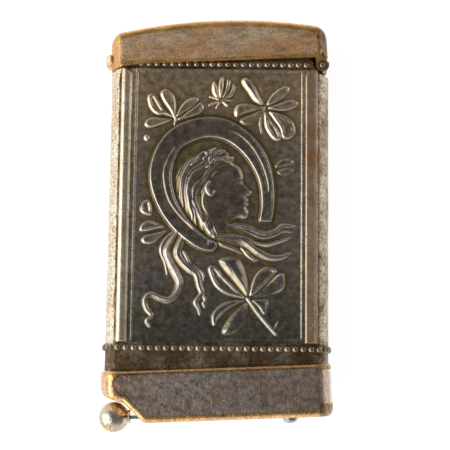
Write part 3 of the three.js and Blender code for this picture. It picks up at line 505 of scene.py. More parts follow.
# Long locks that leave the head on both sides, under the heels of the horseshoe
strand([(-6.6, 32.2), (-7.9, 30.2), (-8.7, 28.3), (-8.1, 26.5), (-7.1, 24.8), (-6.3, 22.8), (-7.0, 20.8),
        (-8.4, 19.7), (-9.9, 20.0), (-11.5, 20.6), (-12.3, 19.8), (-12.0, 18.4), (-11.1, 17.2), (-12.0, 16.2),
        (-11.5, 15.2)], 2.0, 0.6, 0.8, 0.15, 2, broad=0.35)
strand([(-7.4, 32.0), (-9.2, 30.4), (-9.9, 28.5), (-9.1, 26.2), (-8.7, 24.3)], 0.75, 0.34, 0.7, 0.3)
strand([(-7.0, 31.6), (-8.8, 29.4), (-9.2, 27.6), (-8.2, 25.6)], 0.7, 0.4, 0.7, 0.3)
strand([(-5.6, 32.0), (-6.6, 29.8), (-7.0, 28.0), (-6.2, 26.6), (-4.8, 25.3), (-3.6, 24.4), (-3.1, 22.5),
        (-2.7, 21.1), (-3.7, 19.6), (-3.2, 18.5), (-2.9, 17.3)], 1.9, 0.52, 0.8, 0.15, 3)
strand([(-6.0, 28.4), (-4.8, 26.3), (-3.3, 25.3), (-2.5, 24.3), (-2.4, 23.2)], 0.7, 0.32, 0.7, 0.3)
strand([(-2.8, 21.4), (-2.1, 19.9), (-2.4, 19.4), (-2.1, 18.6)], 0.6, 0.3, 0.7, 0.4)
strand([(-2.4, 32.2), (0.2, 32.4), (2.6, 32.0), (4.8, 31.2), (6.6, 30.0)], 3.4, 0.4, 0.7, 0.35, 4)
strand([(-1.6, 33.0), (-0.2, 32.8), (2.4, 33.2), (5.3, 32.8), (7.9, 31.9), (9.9, 32.3), (11.2, 33.2), (13.2, 33.1)],
       2.0, 0.54, 0.8, 0.2, 2, broad=0.4)
strand([(1.5, 32.6), (4.5, 32.2), (7.4, 31.0), (9.4, 31.2), (11.5, 32.1), (13.1, 31.9)], 0.9, 0.38, 0.7, 0.25)
strand([(0.1, 31.6), (2.7, 31.4), (4.7, 31.0), (6.7, 30.2), (8.5, 29.9), (10.5, 30.4), (12.5, 31.0)], 1.5, 0.5, 0.8,
       0.2, 1, broad=0.4)
strand([(-0.5, 31.2), (2.0, 31.2), (4.0, 31.0), (5.6, 30.1), (7.3, 28.8), (9.1, 27.9), (10.8, 27.8), (12.3, 28.3)],
       2.5, 0.62, 0.8, 0.2, 2, broad=0.5)
strand([(-0.4, 30.3), (0.8, 29.7), (2.7, 29.0), (4.4, 28.1)], 1.2, 0.4, 0.7, 0.3, 2)
strand([(4.2, 29.0), (4.9, 28.3), (5.8, 27.5), (6.9, 26.8)], 1.1, 0.38, 0.6, 0.3, 2)

# Horseshoe with a raised rim, a crease in each branch and a nail near each heel
shoe = smooth([(-1.2, 28.3), (-3.3, 28.7), (-5.8, 30.3), (-8.5, 32.8), (-10.7, 36.1), (-12.0, 39.7), (-12.2, 43.1),
               (-11.1, 46.8), (-8.7, 50.0), (-5.3, 51.8), (-1.6, 52.4), (2.1, 51.7), (5.6, 49.4), (8.1, 46.2),
               (9.4, 42.7), (9.9, 38.6), (9.8, 35.8), (9.5, 34.0), (9.1, 33.6), (7.6, 33.6), (7.1, 34.1),
               (7.4, 36.7), (7.1, 40.2), (6.0, 43.0), (4.1, 45.7), (1.4, 47.8), (-1.5, 48.5), (-4.1, 47.9),
               (-6.4, 46.6), (-7.7, 44.0), (-8.0, 40.8), (-7.1, 37.3), (-4.8, 33.7), (-2.2, 31.3), (-0.4, 30.2),
               (0.0, 29.4), (-0.3, 28.7)], True)
part, inset = depth_in(shoe)
lift(part, 0.52 * step((inset + 0.06) / 0.28) + 0.1 * np.exp(-((inset - 0.4) / 0.22) ** 2) * (inset > 0), 0.03)
for crease in ([(-7.7, 47.2), (-9.0, 45.2), (-9.9, 42.6), (-9.7, 39.8), (-8.8, 37.0), (-6.8, 34.3), (-4.3, 31.9)],
               [(0.0, 50.0), (3.1, 49.1), (5.6, 46.8), (7.4, 43.7), (8.4, 40.5), (8.5, 38.4)]):
    groove(crease, 0.19, 0.12)
    groove(smooth(crease) + (0.36, 0.08), 0.18, -0.05)
for x, y in ((-1.3, 29.9), (8.4, 35.2)):
    bump(x, y, 0.38, 0.26)
    bump(x, y, 0.18, -0.26)

# Head in profile, on schoolbook proportions, leaning back a little, with the hair swept behind it
head_x, head_y, head_tall, head_lean = 0.3, 39.4, 12.2, math.radians(10)


def on_head(points):
    """Places given in head heights from its middle, set on the panel."""
    p = np.asarray(points, float) * head_tall
    c, s = math.cos(head_lean), math.sin(head_lean)
    return np.column_stack([head_x + p[:, 0] * c - p[:, 1] * s, head_y + p[:, 0] * s + p[:, 1] * c])


def dab(u, v, width, height):
    """A bump on the head."""
    (x, y), = on_head([(u, v)])
    bump(x, y, width * head_tall, height)


face = smooth(on_head([(-0.05, 0.45), (0.18, 0.42), (0.32, 0.28), (0.355, 0.14), (0.335, 0.05), (0.385, -0.03),
                       (0.44, -0.12), (0.39, -0.16), (0.355, -0.175), (0.37, -0.22), (0.352, -0.25), (0.362, -0.285),
                       (0.33, -0.325), (0.345, -0.40), (0.29, -0.47), (0.16, -0.45), (0.06, -0.50), (0.02, -0.62),
                       (-0.30, -0.62), (-0.32, -0.10), (-0.28, 0.30)]), True, 6)
part, inset = depth_in(face)
rise = np.clip((inset + 0.08) / 1.9, 0, 1)
lift(part, 0.6 * np.sqrt(1 - (1 - rise) ** 2) * (inset > -0.1), 0.03)
dab(0.255, 0.02, 0.07, -0.12)
dab(0.14, -0.13, 0.12, 0.06)
dab(0.365, -0.125, 0.035, 0.05)
dab(0.275, -0.40, 0.06, 0.05)
for line, width, height, root, tip in (([(0.19, 0.085), (0.27, 0.105), (0.345, 0.09)], 0.6, 0.07, 0.5, 0.5),
                                       ([(0.20, 0.02), (0.25, 0.045), (0.305, 0.025)], 0.4, 0.09, 0.5, 0.5),
                                       ([(0.21, 0.0), (0.26, -0.012), (0.30, 0.005)], 0.35, 0.06, 0.5, 0.5),
                                       ([(0.28, -0.245), (0.33, -0.23), (0.37, -0.228)], 0.45, 0.05, 0.4, 0.8),
                                       ([(0.29, -0.272), (0.33, -0.28), (0.362, -0.28)], 0.45, 0.05, 0.4, 0.8)):
    strand(on_head(line), width, height, root, tip, on_top=True)
groove(on_head([(0.27, -0.252), (0.32, -0.254), (0.36, -0.252)]), 0.12, 0.06)
groove(on_head([(0.33, -0.11), (0.335, -0.15), (0.36, -0.165)]), 0.12, 0.07)
groove(on_head([(0.24, -0.47), (0.10, -0.42), (-0.03, -0.30), (-0.08, -0.16)]), 0.5, 0.07)

hair = smooth([(2.6, 45.0), (1.2, 46.4), (-1.0, 46.9), (-3.4, 46.2), (-5.6, 44.6), (-7.1, 42.4), (-7.5, 39.8),
               (-6.8, 37.2), (-5.5, 34.9), (-3.9, 32.9), (-2.0, 31.4), (-0.4, 31.4), (-0.6, 33.0), (-1.6, 34.6),
               (-2.4, 37.0), (-2.2, 39.6), (-0.9, 41.6), (0.6, 42.8), (2.0, 43.6)], True)
part, inset = depth_in(hair)
rise = np.clip((inset + 0.1) / 2.3, 0, 1)
lift(part, 0.62 * (1 - (1 - rise) ** 2), 0.03)
flow = smooth([(3.2, 43.8), (2.0, 43.4), (0.6, 42.6), (-0.9, 41.4), (-2.2, 39.6), (-2.5, 37.2), (-1.8, 34.8),
               (-0.6, 32.8), (0.8, 31.0)])
part, away, _, share = near(flow, 6.5)
wave = away + 0.32 * np.sin(18 * share + 1.1 * away) + 0.05 * np.sin(48 * share - 2.1 * away)
threads = 0.05 * np.cos(2 * math.pi * wave / 0.58) + 0.07 * np.cos(2 * math.pi * wave / 1.55 + 2 * share)
relief[part] += threads * within(hair, part) * step(away / 0.5)
for curl in ([(-4.8, 43.7), (-3.8, 44.7), (-3.2, 45.8), (-2.4, 46.0), (-2.0, 45.2), (-2.7, 44.7)],
             [(-2.1, 43.3), (-1.4, 43.8), (-1.6, 45.1), (-1.2, 46.3), (-0.7, 46.8)],
             [(0.2, 45.7), (0.8, 46.2), (1.6, 45.6), (1.5, 44.8), (0.9, 45.0)],
             [(-0.8, 44.6), (0.4, 44.8), (1.9, 44.2), (2.9, 43.4)],
             [(-1.6, 40.6), (-2.1, 39.6), (-1.7, 38.6), (-1.0, 38.3), (-0.7, 39.0)]):
    strand(curl, 0.75, 0.2, 0.6, 0.4, on_top=True)
strand([(-4.6, 37.4), (-3.6, 35.2), (-2.4, 33.2), (-0.8, 31.3)], 1.0, 0.16, 0.4, 0.4, on_top=True)

# The margin stands a little above the field, then the slight give of the sheet between the struck forms
edge = np.minimum(15.2 - np.abs(gx), np.minimum(gy - panel_low, panel_top - gy + 0.2))
relief = np.maximum(relief, (0.07 + 0.07 * step((gx + 2) / 4)) * step((0.85 - edge) / 0.35))
give = sum(a * np.sin(gx * u + gy * v + w) for a, u, v, w in
           ((0.010, 0.5, 0.3, 1.0), (0.008, -0.4, 0.7, 2.2), (0.006, 0.9, -0.5, 0.4), (0.004, 1.7, 1.3, 3.0)))
relief += give * step((edge - 0.9) / 1.0) + 0.08 * np.exp(-((gx + 14.72) / 0.15) ** 2) * step(edge / 0.3)


def blurred(field, cells):
    """The sheet's heights spread over a number of cells each way."""
    reach = int(3 * cells) + 1
    weight = np.exp(-0.5 * (np.arange(-reach, reach + 1) / cells) ** 2)
    weight /= weight.sum()
    wide = np.pad(field, reach, mode="edge")
    wide = sum(w * wide[i:i + field.shape[0], :] for i, w in enumerate(weight))
    return sum(w * wide[:, i:i + field.shape[1]] for i, w in enumerate(weight))


relief = np.clip(blurred(relief, 0.7), -0.1, 0.78)
hollow = 0.7 * (blurred(relief, 5.0) - relief) + 0.7 * (blurred(relief, 2.2) - relief)
ridge = blurred(relief, 1.6) - relief
beside = blurred(relief, 11.0) - 0.6 * relief
rows, columns = relief.shape
index = np.arange(rows * columns).reshape(rows, columns)
points = np.column_stack([gx.ravel(), gy.ravel(), (panel_ground + relief).ravel()])
faces = np.column_stack([index[:-1, :-1].ravel(), index[:-1, 1:].ravel(), index[1:, 1:].ravel(),
                         index[1:, :-1].ravel()])
rim = np.concatenate([index[0, :-1], index[:-1, -1], index[-1, :0:-1], index[:0:-1, 0]])
under = points[rim] * (1, 1, 0) + (0, 0, panel_seat)
below = len(points) + np.arange(len(rim))
skirt = [(rim[i - 1], below[i - 1], below[i], rim[i]) for i in range(len(rim))]
drawn = (np.vstack([points, under]), [*map(tuple, faces), *skirt, tuple(below[::-1])])
panel_silver = bpy.data.materials.new("tarnished_and_shaded_silver")
front_panel = make("front_panel_sheet", drawn, "case", "panel_silver", panel_silver, "front_panel", sharp=80)
for key, field in (("hollow", hollow), ("ridge", -ridge), ("raised", relief), ("beside", beside)):
    values = np.concatenate([field.ravel(), np.zeros(len(rim))]).astype(np.float32)
    front_panel.data.attributes.new(key, "FLOAT", "POINT").data.foreach_set("value", values)

tree = emptied(panel_silver)
place = in_millimetres(tree)
cloud, mottle = noise(tree, place, 0.16, 4.0, 0.6), noise(tree, place, 0.9, 6.0, 0.65)
lines = noise(tree, stretched(tree, place, (0.5, 6.0, 1.0)), 1.0, 3.0, 0.6)
height = add(tree, "ShaderNodeSeparateXYZ", {0: place}).outputs[1]
tint = mix(tree, ramp(tree, cloud, 0.42, 0.58), (0.41, 0.335, 0.25, 1), (0.38, 0.335, 0.30, 1))
tint = mix(tree, ramp(tree, height, 8.0, 26.0), tint, (0.68, 0.51, 0.33, 1))
tint = mix(tree, ramp(tree, height, -4.0, -21.0, 0.0, 0.85), tint, (0.175, 0.175, 0.145, 1))
gilt = calc(tree, "ADD", mark(tree, "beside"), sway(tree, mottle, 0.35))
tint = mix(tree, ramp(tree, gilt, 0.03, 0.2, 0.0, 0.6), tint, (0.42, 0.30, 0.15, 1))
tint = mix(tree, ramp(tree, mark(tree, "raised"), 0.38, 0.5, 0.0, 0.65), tint, (0.24, 0.215, 0.195, 1))
aside = calc(tree, "ABSOLUTE", add(tree, "ShaderNodeSeparateXYZ", {0: place}).outputs[0])
tint = tinted(tree, tint, calc(tree, "ADD", sway(tree, mottle, 2.8), ramp(tree, aside, 10.5, 15.0, 1.0, 1.2)))
# Tarnish in the hollows, deepened by painted shade at the foot of the struck forms.
tarnish_and_shade = ramp(tree, calc(tree, "ADD", mark(tree, "hollow"), sway(tree, mottle, 0.10)), 0.01, 0.12, 0.0, 0.92)
colour = mix(tree, tarnish_and_shade, tint, (0.16, 0.12, 0.05, 1))
# Painted highlight: the crests of the struck forms are lightened.
crest_highlight = ramp(tree, mark(tree, "ridge"), 0.006, 0.03)
colour = mix(tree, calc(tree, "MULTIPLY", crest_highlight, 0.42), colour, (0.84, 0.80, 0.74, 1))
sheen = calc(tree, "ADD", calc(tree, "MULTIPLY", tarnish_and_shade, 0.16), 0.24)
sheen = calc(tree, "ADD", sheen, sway(tree, mottle, 0.25), True)
metal(tree, colour, sheen, weighed(tree, lines, 0.5, noise(tree, place, 3.0), 0.9), 0.45)


# Back panel. The same silvered sheet, left plain but for a raised line round its edge. It is soldered to the back
# of the tube, its side edges under the back rails.
back_plate = plate("silvered_back", (0.36, 0.315, 0.28, 1), (0.28, 0.235, 0.17, 1), (0.36, 0.28, 0.17, 1), 0.34,
                   pits=0.4, pit_size=0.9, scratch=0.35)
dressed("back_panel_sheet", "back_panel", "case", "panel_silver", back_plate, 0.08)


# Beaded trim. Thin plated brass strip with a row of beads struck up in it, soldered on: one strip above each panel,
# and one right round the foot of the tube.
bead_pitch, bead_radius, bead_rise, bead_strip, bead_backing = 1.4, 0.56, 0.33, 1.2, 0.12
upper_beads, lower_beads, row_half = 62.0, 11.65, 16.6
trim_plate = plate("darkened_trim", (0.50, 0.42, 0.32, 1), (0.36, 0.28, 0.19, 1), (0.62, 0.46, 0.26, 1), 0.30,
                   pits=0.5, pit_size=0.6)


def beads(places, outward, across):
    """Round beads at given places, each standing along its outward direction."""
    points, faces = [], []
    for p, out, side in zip(places, outward, across):
        up = np.cross(out, side)
        start = len(points)
        for ring in range(5):
            lift_angle = ring * math.pi / 2 / 5
            for k in range(12):
                a = k * math.pi / 6
                points.append(p + bead_radius * math.cos(lift_angle) * (side * math.cos(a) + up * math.sin(a))
                              + out * bead_rise * math.sin(lift_angle))
        faces += [tuple(start + i for i in f) for f in ring_faces(5, 12)]
        points.append(p + out * bead_rise)
        faces += [(start + 48 + k, start + 48 + (k + 1) % 12, len(points) - 1) for k in range(12)]
        faces.append(tuple(start + k for k in range(12))[::-1])
    return points, faces


def strip_box(x0, x1, y0, y1, z0, z1):
    """A plain box between two corners."""
    points = [(x, y, z) for z in (z0, z1) for y in (y0, y1) for x in (x0, x1)]
    return points, [(0, 2, 3, 1), (4, 5, 7, 6), (0, 1, 5, 4), (2, 6, 7, 3), (0, 4, 6, 2), (1, 3, 7, 5)]


def both(first, second):
    """Two drawn forms as one."""
    start = len(first[0])
    return [*first[0], *second[0]], [*first[1], *(tuple(i + start for i in f) for f in second[1])]


def trim_stain(p, n):
    """Dark between the beads, down on the strip."""
    return 0.6 * (np.abs(p[:, 2] - middle) < panel_seat - middle + 0.2)


count = int(2 * row_half / bead_pitch)
for name, node, facing in (("front_upper_beads", "front_upper_bead_row", 1),
                           ("back_upper_beads", "back_upper_bead_row", -1)):
    level = middle + facing * (panel_seat - middle)
    top = level + facing * bead_backing
    places = np.array([((i - (count - 1) / 2) * bead_pitch, upper_beads, top - facing * 0.03) for i in range(count)])
    strip = strip_box(-row_half, row_half, upper_beads - bead_strip / 2, upper_beads + bead_strip / 2,
                      min(level, top), max(level, top))
    struck = beads(places, np.tile((0, 0, facing), (count, 1)), np.tile((1, 0, 0), (count, 1)))
    make(name, both(strip, struck), "case", "trim_plate", trim_plate, node, stain=trim_stain)

outline = oval(tube_width, tube_depth, tube_bow, -0.1 - bead_backing)[1]
inside_line = oval(tube_width, tube_depth, tube_bow, -0.1)[1]
strip = sleeve(outline, inside_line, lower_beads - bead_strip / 2,
               np.full(len(outline), lower_beads + bead_strip / 2), 3)
closed = np.vstack([outline, outline[:1]])
run = np.concatenate([[0], np.cumsum(np.hypot(*np.diff(closed, axis=0).T))])
count = round(run[-1] / bead_pitch)
stops = (np.arange(count) + 0.5) / count * run[-1]
px, pz = np.interp(stops, run, closed[:, 0]), np.interp(stops, run, closed[:, 1])
tx = np.interp(stops + 0.2, run, closed[:, 0]) - np.interp(stops - 0.2, run, closed[:, 0])
tz = np.interp(stops + 0.2, run, closed[:, 1]) - np.interp(stops - 0.2, run, closed[:, 1])
size = np.hypot(tx, tz)
across = np.column_stack([tx / size, np.zeros(count), tz / size])
outward = np.column_stack([-tz / size, np.zeros(count), tx / size])
places = np.column_stack([px, np.full(count, lower_beads), pz + middle]) - 0.03 * outward
make("lower_bead_ring", both(strip, beads(places, outward, across)), "case", "trim_plate", trim_plate,
     "lower_bead_band", stain=trim_stain)


# Rails. Four plated bars soldered over the side edges of the panels; each is round-edged, with its inner top
# corner rounded off, and rebated underneath for the panel.
rail_inner, rail_outer, rail_rise, rail_tip = 15.2, 17.45, 0.9, 1.4


def rail_form(outer_round, inner_round, line):
    """A rail drawn at the right of the front, with a fine raised line.

    Its top falls off to each side by its rounds.
    """
    ys = np.concatenate([panel_low + 0.4 * (1 - np.cos(np.linspace(0, math.pi / 2, 6))),
                         np.linspace(panel_low + 0.6, panel_top - 1.6, 30),
                         panel_top - rail_tip + rail_tip * np.sin(np.linspace(0, math.pi / 2, 14))])
    shares = 0.5 - 0.5 * np.cos(np.linspace(0, math.pi, 25))
    points = []
    for y in ys:
        tip = max(y - (panel_top - rail_tip), 0)
        inner_x = rail_inner + rail_tip - math.sqrt(max(rail_tip ** 2 - tip ** 2, 0))
        for x in inner_x + (rail_outer - inner_x) * shares:
            rounds = ((x - inner_x, inner_round), (rail_outer - x, outer_round), (y - panel_low, 0.3),
                      (panel_top - y, 0.3))
            falls = [r * (1 - math.sqrt(1 - (1 - away / r) ** 2)) for away, r in rounds if 0 <= away < r]
            raised = line * math.exp(-((rail_outer - x - 0.42) / 0.13) ** 2) * step((panel_top - y) / 0.6)
            points.append((x, y, panel_seat + rail_rise - min(max(falls, default=0), 0.62) + raised))
    wide = len(shares)
    grid = np.arange(len(points)).reshape(len(ys), wide)
    faces = [(grid[i, j], grid[i, j + 1], grid[i + 1, j + 1], grid[i + 1, j])
             for i in range(len(ys) - 1) for j in range(wide - 1)]
    rim = [*grid[0, :-1], *grid[:-1, -1], *grid[-1, :0:-1], *grid[:0:-1, 0]]
    start = len(points)
    points += [(points[i][0], points[i][1], panel_seat) for i in rim]
    n = len(rim)
    faces += [(rim[i], start + i, start + (i + 1) % n, rim[(i + 1) % n]) for i in range(n)]
    faces.append(tuple(range(start + n - 1, start - 1, -1)))
    return np.array(points), faces


# Lit and shaded copies of one plating: the left rails are painted lighter, as lit by the lamp at the left, and the
# right rails darker, as in shade.
lit_rail_plating = plate("lit_rail", (0.84, 0.73, 0.56, 1), (0.70, 0.56, 0.39, 1), (0.62, 0.44, 0.23, 1), 0.30,
                    pits=0.5, pit_size=0.7, scratch=0.3)
shaded_rail_plating = plate("shaded_rail", (0.62, 0.49, 0.36, 1), (0.56, 0.39, 0.25, 1), (0.56, 0.26, 0.10, 1), 0.40,
                   pits=0.5, pit_size=0.7, scratch=0.25)


def rail_wear(p, n):
    """The right rails are rubbed in their middle and at the foot."""
    return (p[:, 0] > 0) * (0.4 * (np.abs(p[:, 1] - 48) < 6) + 0.45 * step((17 - p[:, 1]) / 6))


def rail_stain(p, n):
    """Painted shade down the flanks and along the inner edge of the lit rails, where they meet the panel, and a dark
    joint along the outer edge of the shaded ones.
    """
    aside = p[:, 0] * facing
    return np.maximum.reduce([0.85 * (np.abs(p[:, 2] - middle) < panel_seat - middle + 0.34),
                              0.7 * (aside < 0) * (np.abs(aside) < rail_inner + 0.35),
                              0.6 * (aside > rail_outer - 0.2)])


for name, node, side, facing in (("front_right_bar", "front_right_rail", 1, 1),
                                 ("front_left_bar", "front_left_rail", -1, 1),
                                 ("back_right_bar", "back_right_rail", 1, -1),
                                 ("back_left_bar", "back_left_rail", -1, -1)):
    # The rail at the left of each face, seen facing it, takes the lit plating and a crowned section; the one at the
    # right takes the shaded plating.
    rounding, rail_plate = ((0.8, 1.2, 0.0), lit_rail_plating) if side * facing < 0 else ((0.45, 0.34, 0.07), shaded_rail_plating)
    points, faces = rail_form(*rounding)
    points[:, 2] = middle + facing * (points[:, 2] - middle)
    make(name, (points * (side, 1, 1), faces), "case", "trim_plate", rail_plate, node, sharp=50, worn=rail_wear,
         stain=rail_stain)


# Hinge and spring. Two short brass knuckles inside the tube's right corner carry a steel pin, peened over at
# the front; a leaf spring riveted to the right wall presses on the lid's cam.
pin_x, pin_y = 18.2, 61.9
steel = plate("bare_steel", (0.56, 0.54, 0.51, 1), (0.42, 0.39, 0.36, 1), (0.40, 0.30, 0.20, 1), 0.32,
              pits=0.35, pit_size=0.5, scratch=0.3)
for node in ("hinge_knuckle_front", "hinge_knuckle_back"):
    dressed(node + "_tube", node, "case", "inner_brass", inner_brass)
dressed("lid_spring_leaf", "lid_spring", "case", "steel", steel)
dressed("spring_rivet_brass", "spring_rivet", "case", "inner_brass", inner_brass)


def turned_bar(profile, sides, axis, at):
    """A turned piece: a profile of radius and place along an axis, spun round it."""
    points = []
    for radius, place in profile:
        for k in range(sides):
            a = 2 * math.pi * k / sides
            u, v = radius * math.cos(a), radius * math.sin(a)
            local = {"x": (place, u, v), "y": (u, place, v), "z": (u, v, place)}[axis]
            points.append(np.add(local, at))
    faces = ring_faces(len(profile), sides)
    faces += [tuple(range(sides))[::-1], tuple(range((len(profile) - 1) * sides, len(profile) * sides))]
    return points, faces


profile = [(0.40, 0.1), (0.55, 0.2), (0.55, 11.72), (0.50, 11.83), (0.38, 11.91), (0.2, 11.945)]
make("hinge_pin_peened", turned_bar(profile, 28, "z", (pin_x, pin_y, 0)), "case", "steel", steel, "hinge_pin",
     stain=lambda p, n: 0.45 + 0 * p[:, 0])


# Lid. One deep cap pressed from brass sheet and nickelled: an arched top with well rounded edges, worn through
# to the brass along them. It is cut away at the hinge end and hangs on two lugs.
lid_low, lid_top, lid_arch, lid_corner, lid_round, lid_wall = 63.35, 70.995, 96.0, 1.9, 1.35, 0.5
lid_lean = (2.8, pin_x, pin_y)
heel_cut, lug_round, eye_round = 64.55, 1.15, 0.72


def lid_crown(x, inset):
    """Height of the lid's arched top at a place across it."""
    hub_x = tube_width / 2 + 0.2 - lid_corner
    arch_y = lid_top - lid_arch
    hub_y = arch_y + math.sqrt((lid_arch - lid_corner) ** 2 - hub_x ** 2)
    x = abs(x)
    if x < hub_x + (lid_corner - inset) * hub_x / (lid_arch - lid_corner):
        return arch_y + math.sqrt((lid_arch - inset) ** 2 - x * x)
    return hub_y + math.sqrt(max((lid_corner - inset) ** 2 - (x - hub_x) ** 2, 0))


def hood(half, crown, foot, radius):
    """Section of the lid: up the front, over its rounded edges and down the back."""
    r = min(radius, 0.98 * half, 0.9 * (crown - foot)) if half > 0 else 0.0
    wall = [(y, half) for y in np.linspace(foot, crown - r, 18)]
    bend = [(crown - r + r * math.sin(a), half - r + r * math.cos(a)) for a in np.linspace(0, math.pi / 2, 9)[1:]]
    roof = [(crown, z) for z in np.linspace(half - r, 0, 6)[1:]]
    side = wall + bend + roof
    return np.array(side + [(y, -z) for y, z in side[-2::-1]])


sheets = []
for inset, radius in ((0.0, lid_round), (lid_wall, lid_round - lid_wall)):
    front = oval(tube_width, 2 * middle, tube_bow, inset, 0.9, np.linspace(-16.9, 16.9, 110))[0]
    for x, half in front:
        foot = heel_cut if x > 0 and half < 5.3 - inset else lid_low - 0.35 * step((-x - 13) / 4)
        section = hood(max(half, 0.0), lid_crown(x, inset), foot, radius)
        sheets.append(np.column_stack([np.full(len(section), x), section[:, 0], section[:, 1] + middle]))
spans, across = len(front), len(sheets[0])
points = np.vstack(sheets)
index = np.arange(len(points)).reshape(2, spans, across)
faces = []
for sheet in index:
    faces += [(sheet[i, j], sheet[i + 1, j], sheet[i + 1, j + 1], sheet[i, j + 1])
              for i in range(spans - 1) for j in range(across - 1)]
for j in (0, across - 1):
    faces += [(index[0, i, j], index[0, i + 1, j], index[1, i + 1, j], index[1, i, j]) for i in range(spans - 1)]
for front_z in (middle * 2 - lid_wall, 0.0):
    turns = np.linspace(math.pi, 2 * math.pi, 15)
    ring = [*(lug_round * np.column_stack([np.cos(turns), np.sin(turns)])),
            *np.linspace((lug_round, 0.3), (17.4 - pin_x, heel_cut - pin_y), 7),
            *np.linspace((-lug_round, heel_cut - pin_y), (-lug_round, 0.6), 4)]
    eye = [p * eye_round / math.hypot(*p) for p in ring]
    start = len(points)
    n = len(ring)
    faces_z = (front_z + 0.02, front_z + lid_wall - 0.02)
    lug = [(pin_x + x, pin_y + y, z) for loop in (ring, eye) for z in faces_z for x, y in loop]
    points = np.vstack([points, lug])
    for z in (0, 1):
        outer_loop = [start + z * n + i for i in range(n)]
        inner_loop = [start + 2 * n + z * n + i for i in range(n)]
        faces += [(outer_loop[i], outer_loop[(i + 1) % n], inner_loop[(i + 1) % n], inner_loop[i]) for i in range(n)]
    for base in (start, start + 2 * n):
        faces += [(base + i, base + (i + 1) % n, base + n + (i + 1) % n, base + n + i) for i in range(n)]


def inner_edge(*spans, corner=1.5):
    """How far points lie inside a field with rounded corners, from their distances to each of its sides."""
    inside = spans[0]
    for span in spans[1:]:
        bend = corner - np.hypot(np.maximum(corner - inside, 0), np.maximum(corner - span, 0))
        inside = np.where((inside < corner) & (span < corner), bend, np.minimum(inside, span))
    return inside


def lid_field(p):
    """How far points lie inside the lid's plated field."""
    crown = np.array([lid_crown(x, 0.0) for x in p[:, 0]])
    return inner_edge(crown - p[:, 1] - 1.45, p[:, 1] - lid_low - 0.6, p[:, 0] + 17.8, 17.6 - p[:, 0])


def lid_wear(p, n):
    """Through to the brass along the edges, half so at the ends, and less in the middle of the top."""
    roof = (n[:, 1] > 0.75) * step((4.6 - np.abs(p[:, 2] - middle)) / 1.6)
    edges = 0.95 * step((0.2 - lid_field(p)) / 0.4) - 0.6 * roof
    ends = (0.6 * (p[:, 0] < -17.5) + 0.2 * (p[:, 0] > 17.5)) * (1 - roof)
    return np.maximum(edges, ends) + 0.16 * step((p[:, 0] - 1) / 8) * (n[:, 2] > 0.9)


def lid_stain(p, n):
    """Dark on the lugs, in the bends at both ends and on the ends; the darker right end and a slight darkening
    towards the right are painted shade, away from the lamp.
    """
    lug = 0.62 * (p[:, 1] < lid_low) * (p[:, 0] > 16.9)
    knee = 0.65 * np.exp(-((np.abs(n[:, 0]) - 0.4) / 0.22) ** 2) * (np.abs(p[:, 0]) > 16) * (np.abs(n[:, 1]) < 0.5)
    ends = 0.42 * (p[:, 0] < -17.8) + 0.66 * (p[:, 0] > 17.5)
    return np.maximum.reduce([lug, knee, ends * (n[:, 1] < 0.4), 0.16 * step((p[:, 0] + 15) / 12)])


lid_plate = plate("worn_lid", (1.0, 0.74, 0.50, 1), (0.94, 0.53, 0.26, 1), (0.86, 0.48, 0.16, 1), 0.47,
                  pits=0.8, pit_size=0.4, scratch=0.2, speckle=0.25, uneven_by=1.9, drawn=0.4)
make("lid_cap", (points, faces), "lid", "lid_plate", lid_plate, "lid_shell", lean=lid_lean, sharp=40, worn=lid_wear,
     stain=lid_stain)
dressed("thumb_lip_crescent", "lid_thumb_lip", "lid", "lid_plate", lid_plate, 0.25)
dressed("lid_cam_brass", "lid_cam", "lid", "inner_brass", inner_brass)


# Base. A second deep cap, soldered on the foot of the tube: its lower left corner steps in over the ball of the
# cutter, its underside has the cigar hole, the stud's slot and the slide's slit, its right end a striker window.
# It is nickelled brass, worn through round its edges; the striker is a filed steel plate let into the window.
base_width, base_bow, base_high, base_wall, base_round = 40.6, 2.2, 8.5, 0.4, 1.0
base_end, slot_half = 1.4, 0.95                  # round at the two ends of the underside, half the stud slot's width
base_lean = (2.75, 0.0, 5.5)
ball_x, ball_y, ball_radius = -18.1, 0.45, 2.648
hole_x, hole_radius, stud_x, travel = -4.9, 3.3, 12.8, 7.8
foot_line = [(-20.3, 4.32, 1.4), (-15.86, 2.88, 1.4), (-12.5, -0.6, 1.1), (20.3, -0.6, 1.4)]


def eased_line(corners, steps=8):
    """A line with each inner corner rounded by its radius."""
    line = [corners[0][:2]]
    for (ax, ay, _), (bx, by, radius), (cx, cy, _) in zip(corners, corners[1:], corners[2:]):
        a, b, c = np.array((ax, ay)), np.array((bx, by)), np.array((cx, cy))
        u, v = (a - b) / np.linalg.norm(a - b), (c - b) / np.linalg.norm(c - b)
        reach = radius / math.tan(math.acos(u @ v) / 2)
        for t in np.linspace(0, 1, steps):
            line.append(tuple(b + u * reach * (1 - t) ** 2 + v * reach * t ** 2))
    return np.array(line + [corners[-1][:2]])


foot_curve = eased_line(foot_line)


def base_foot(x, inset):
    """Height of the base's underside at a place across it."""
    y = np.interp(x, foot_curve[:, 0], foot_curve[:, 1])
    before, after = np.interp((x - 0.05, x + 0.05), foot_curve[:, 0], foot_curve[:, 1])
    slope = after - before
    y += inset * math.hypot(1, slope / 0.1)
    over = abs(x) - (base_width / 2 - inset - base_end)
    return y + (base_end - math.sqrt(max(base_end ** 2 - over ** 2, 0)) if over > 0 else 0)


def base_rim(x, inset):
    """Height of the base's upper face, which rounds off at both ends."""
    over = abs(x) - (base_width / 2 - inset - 1.0)
    return base_high - inset - (1.0 - math.sqrt(max(1 - over ** 2, 0)) if over > 0 else 0)


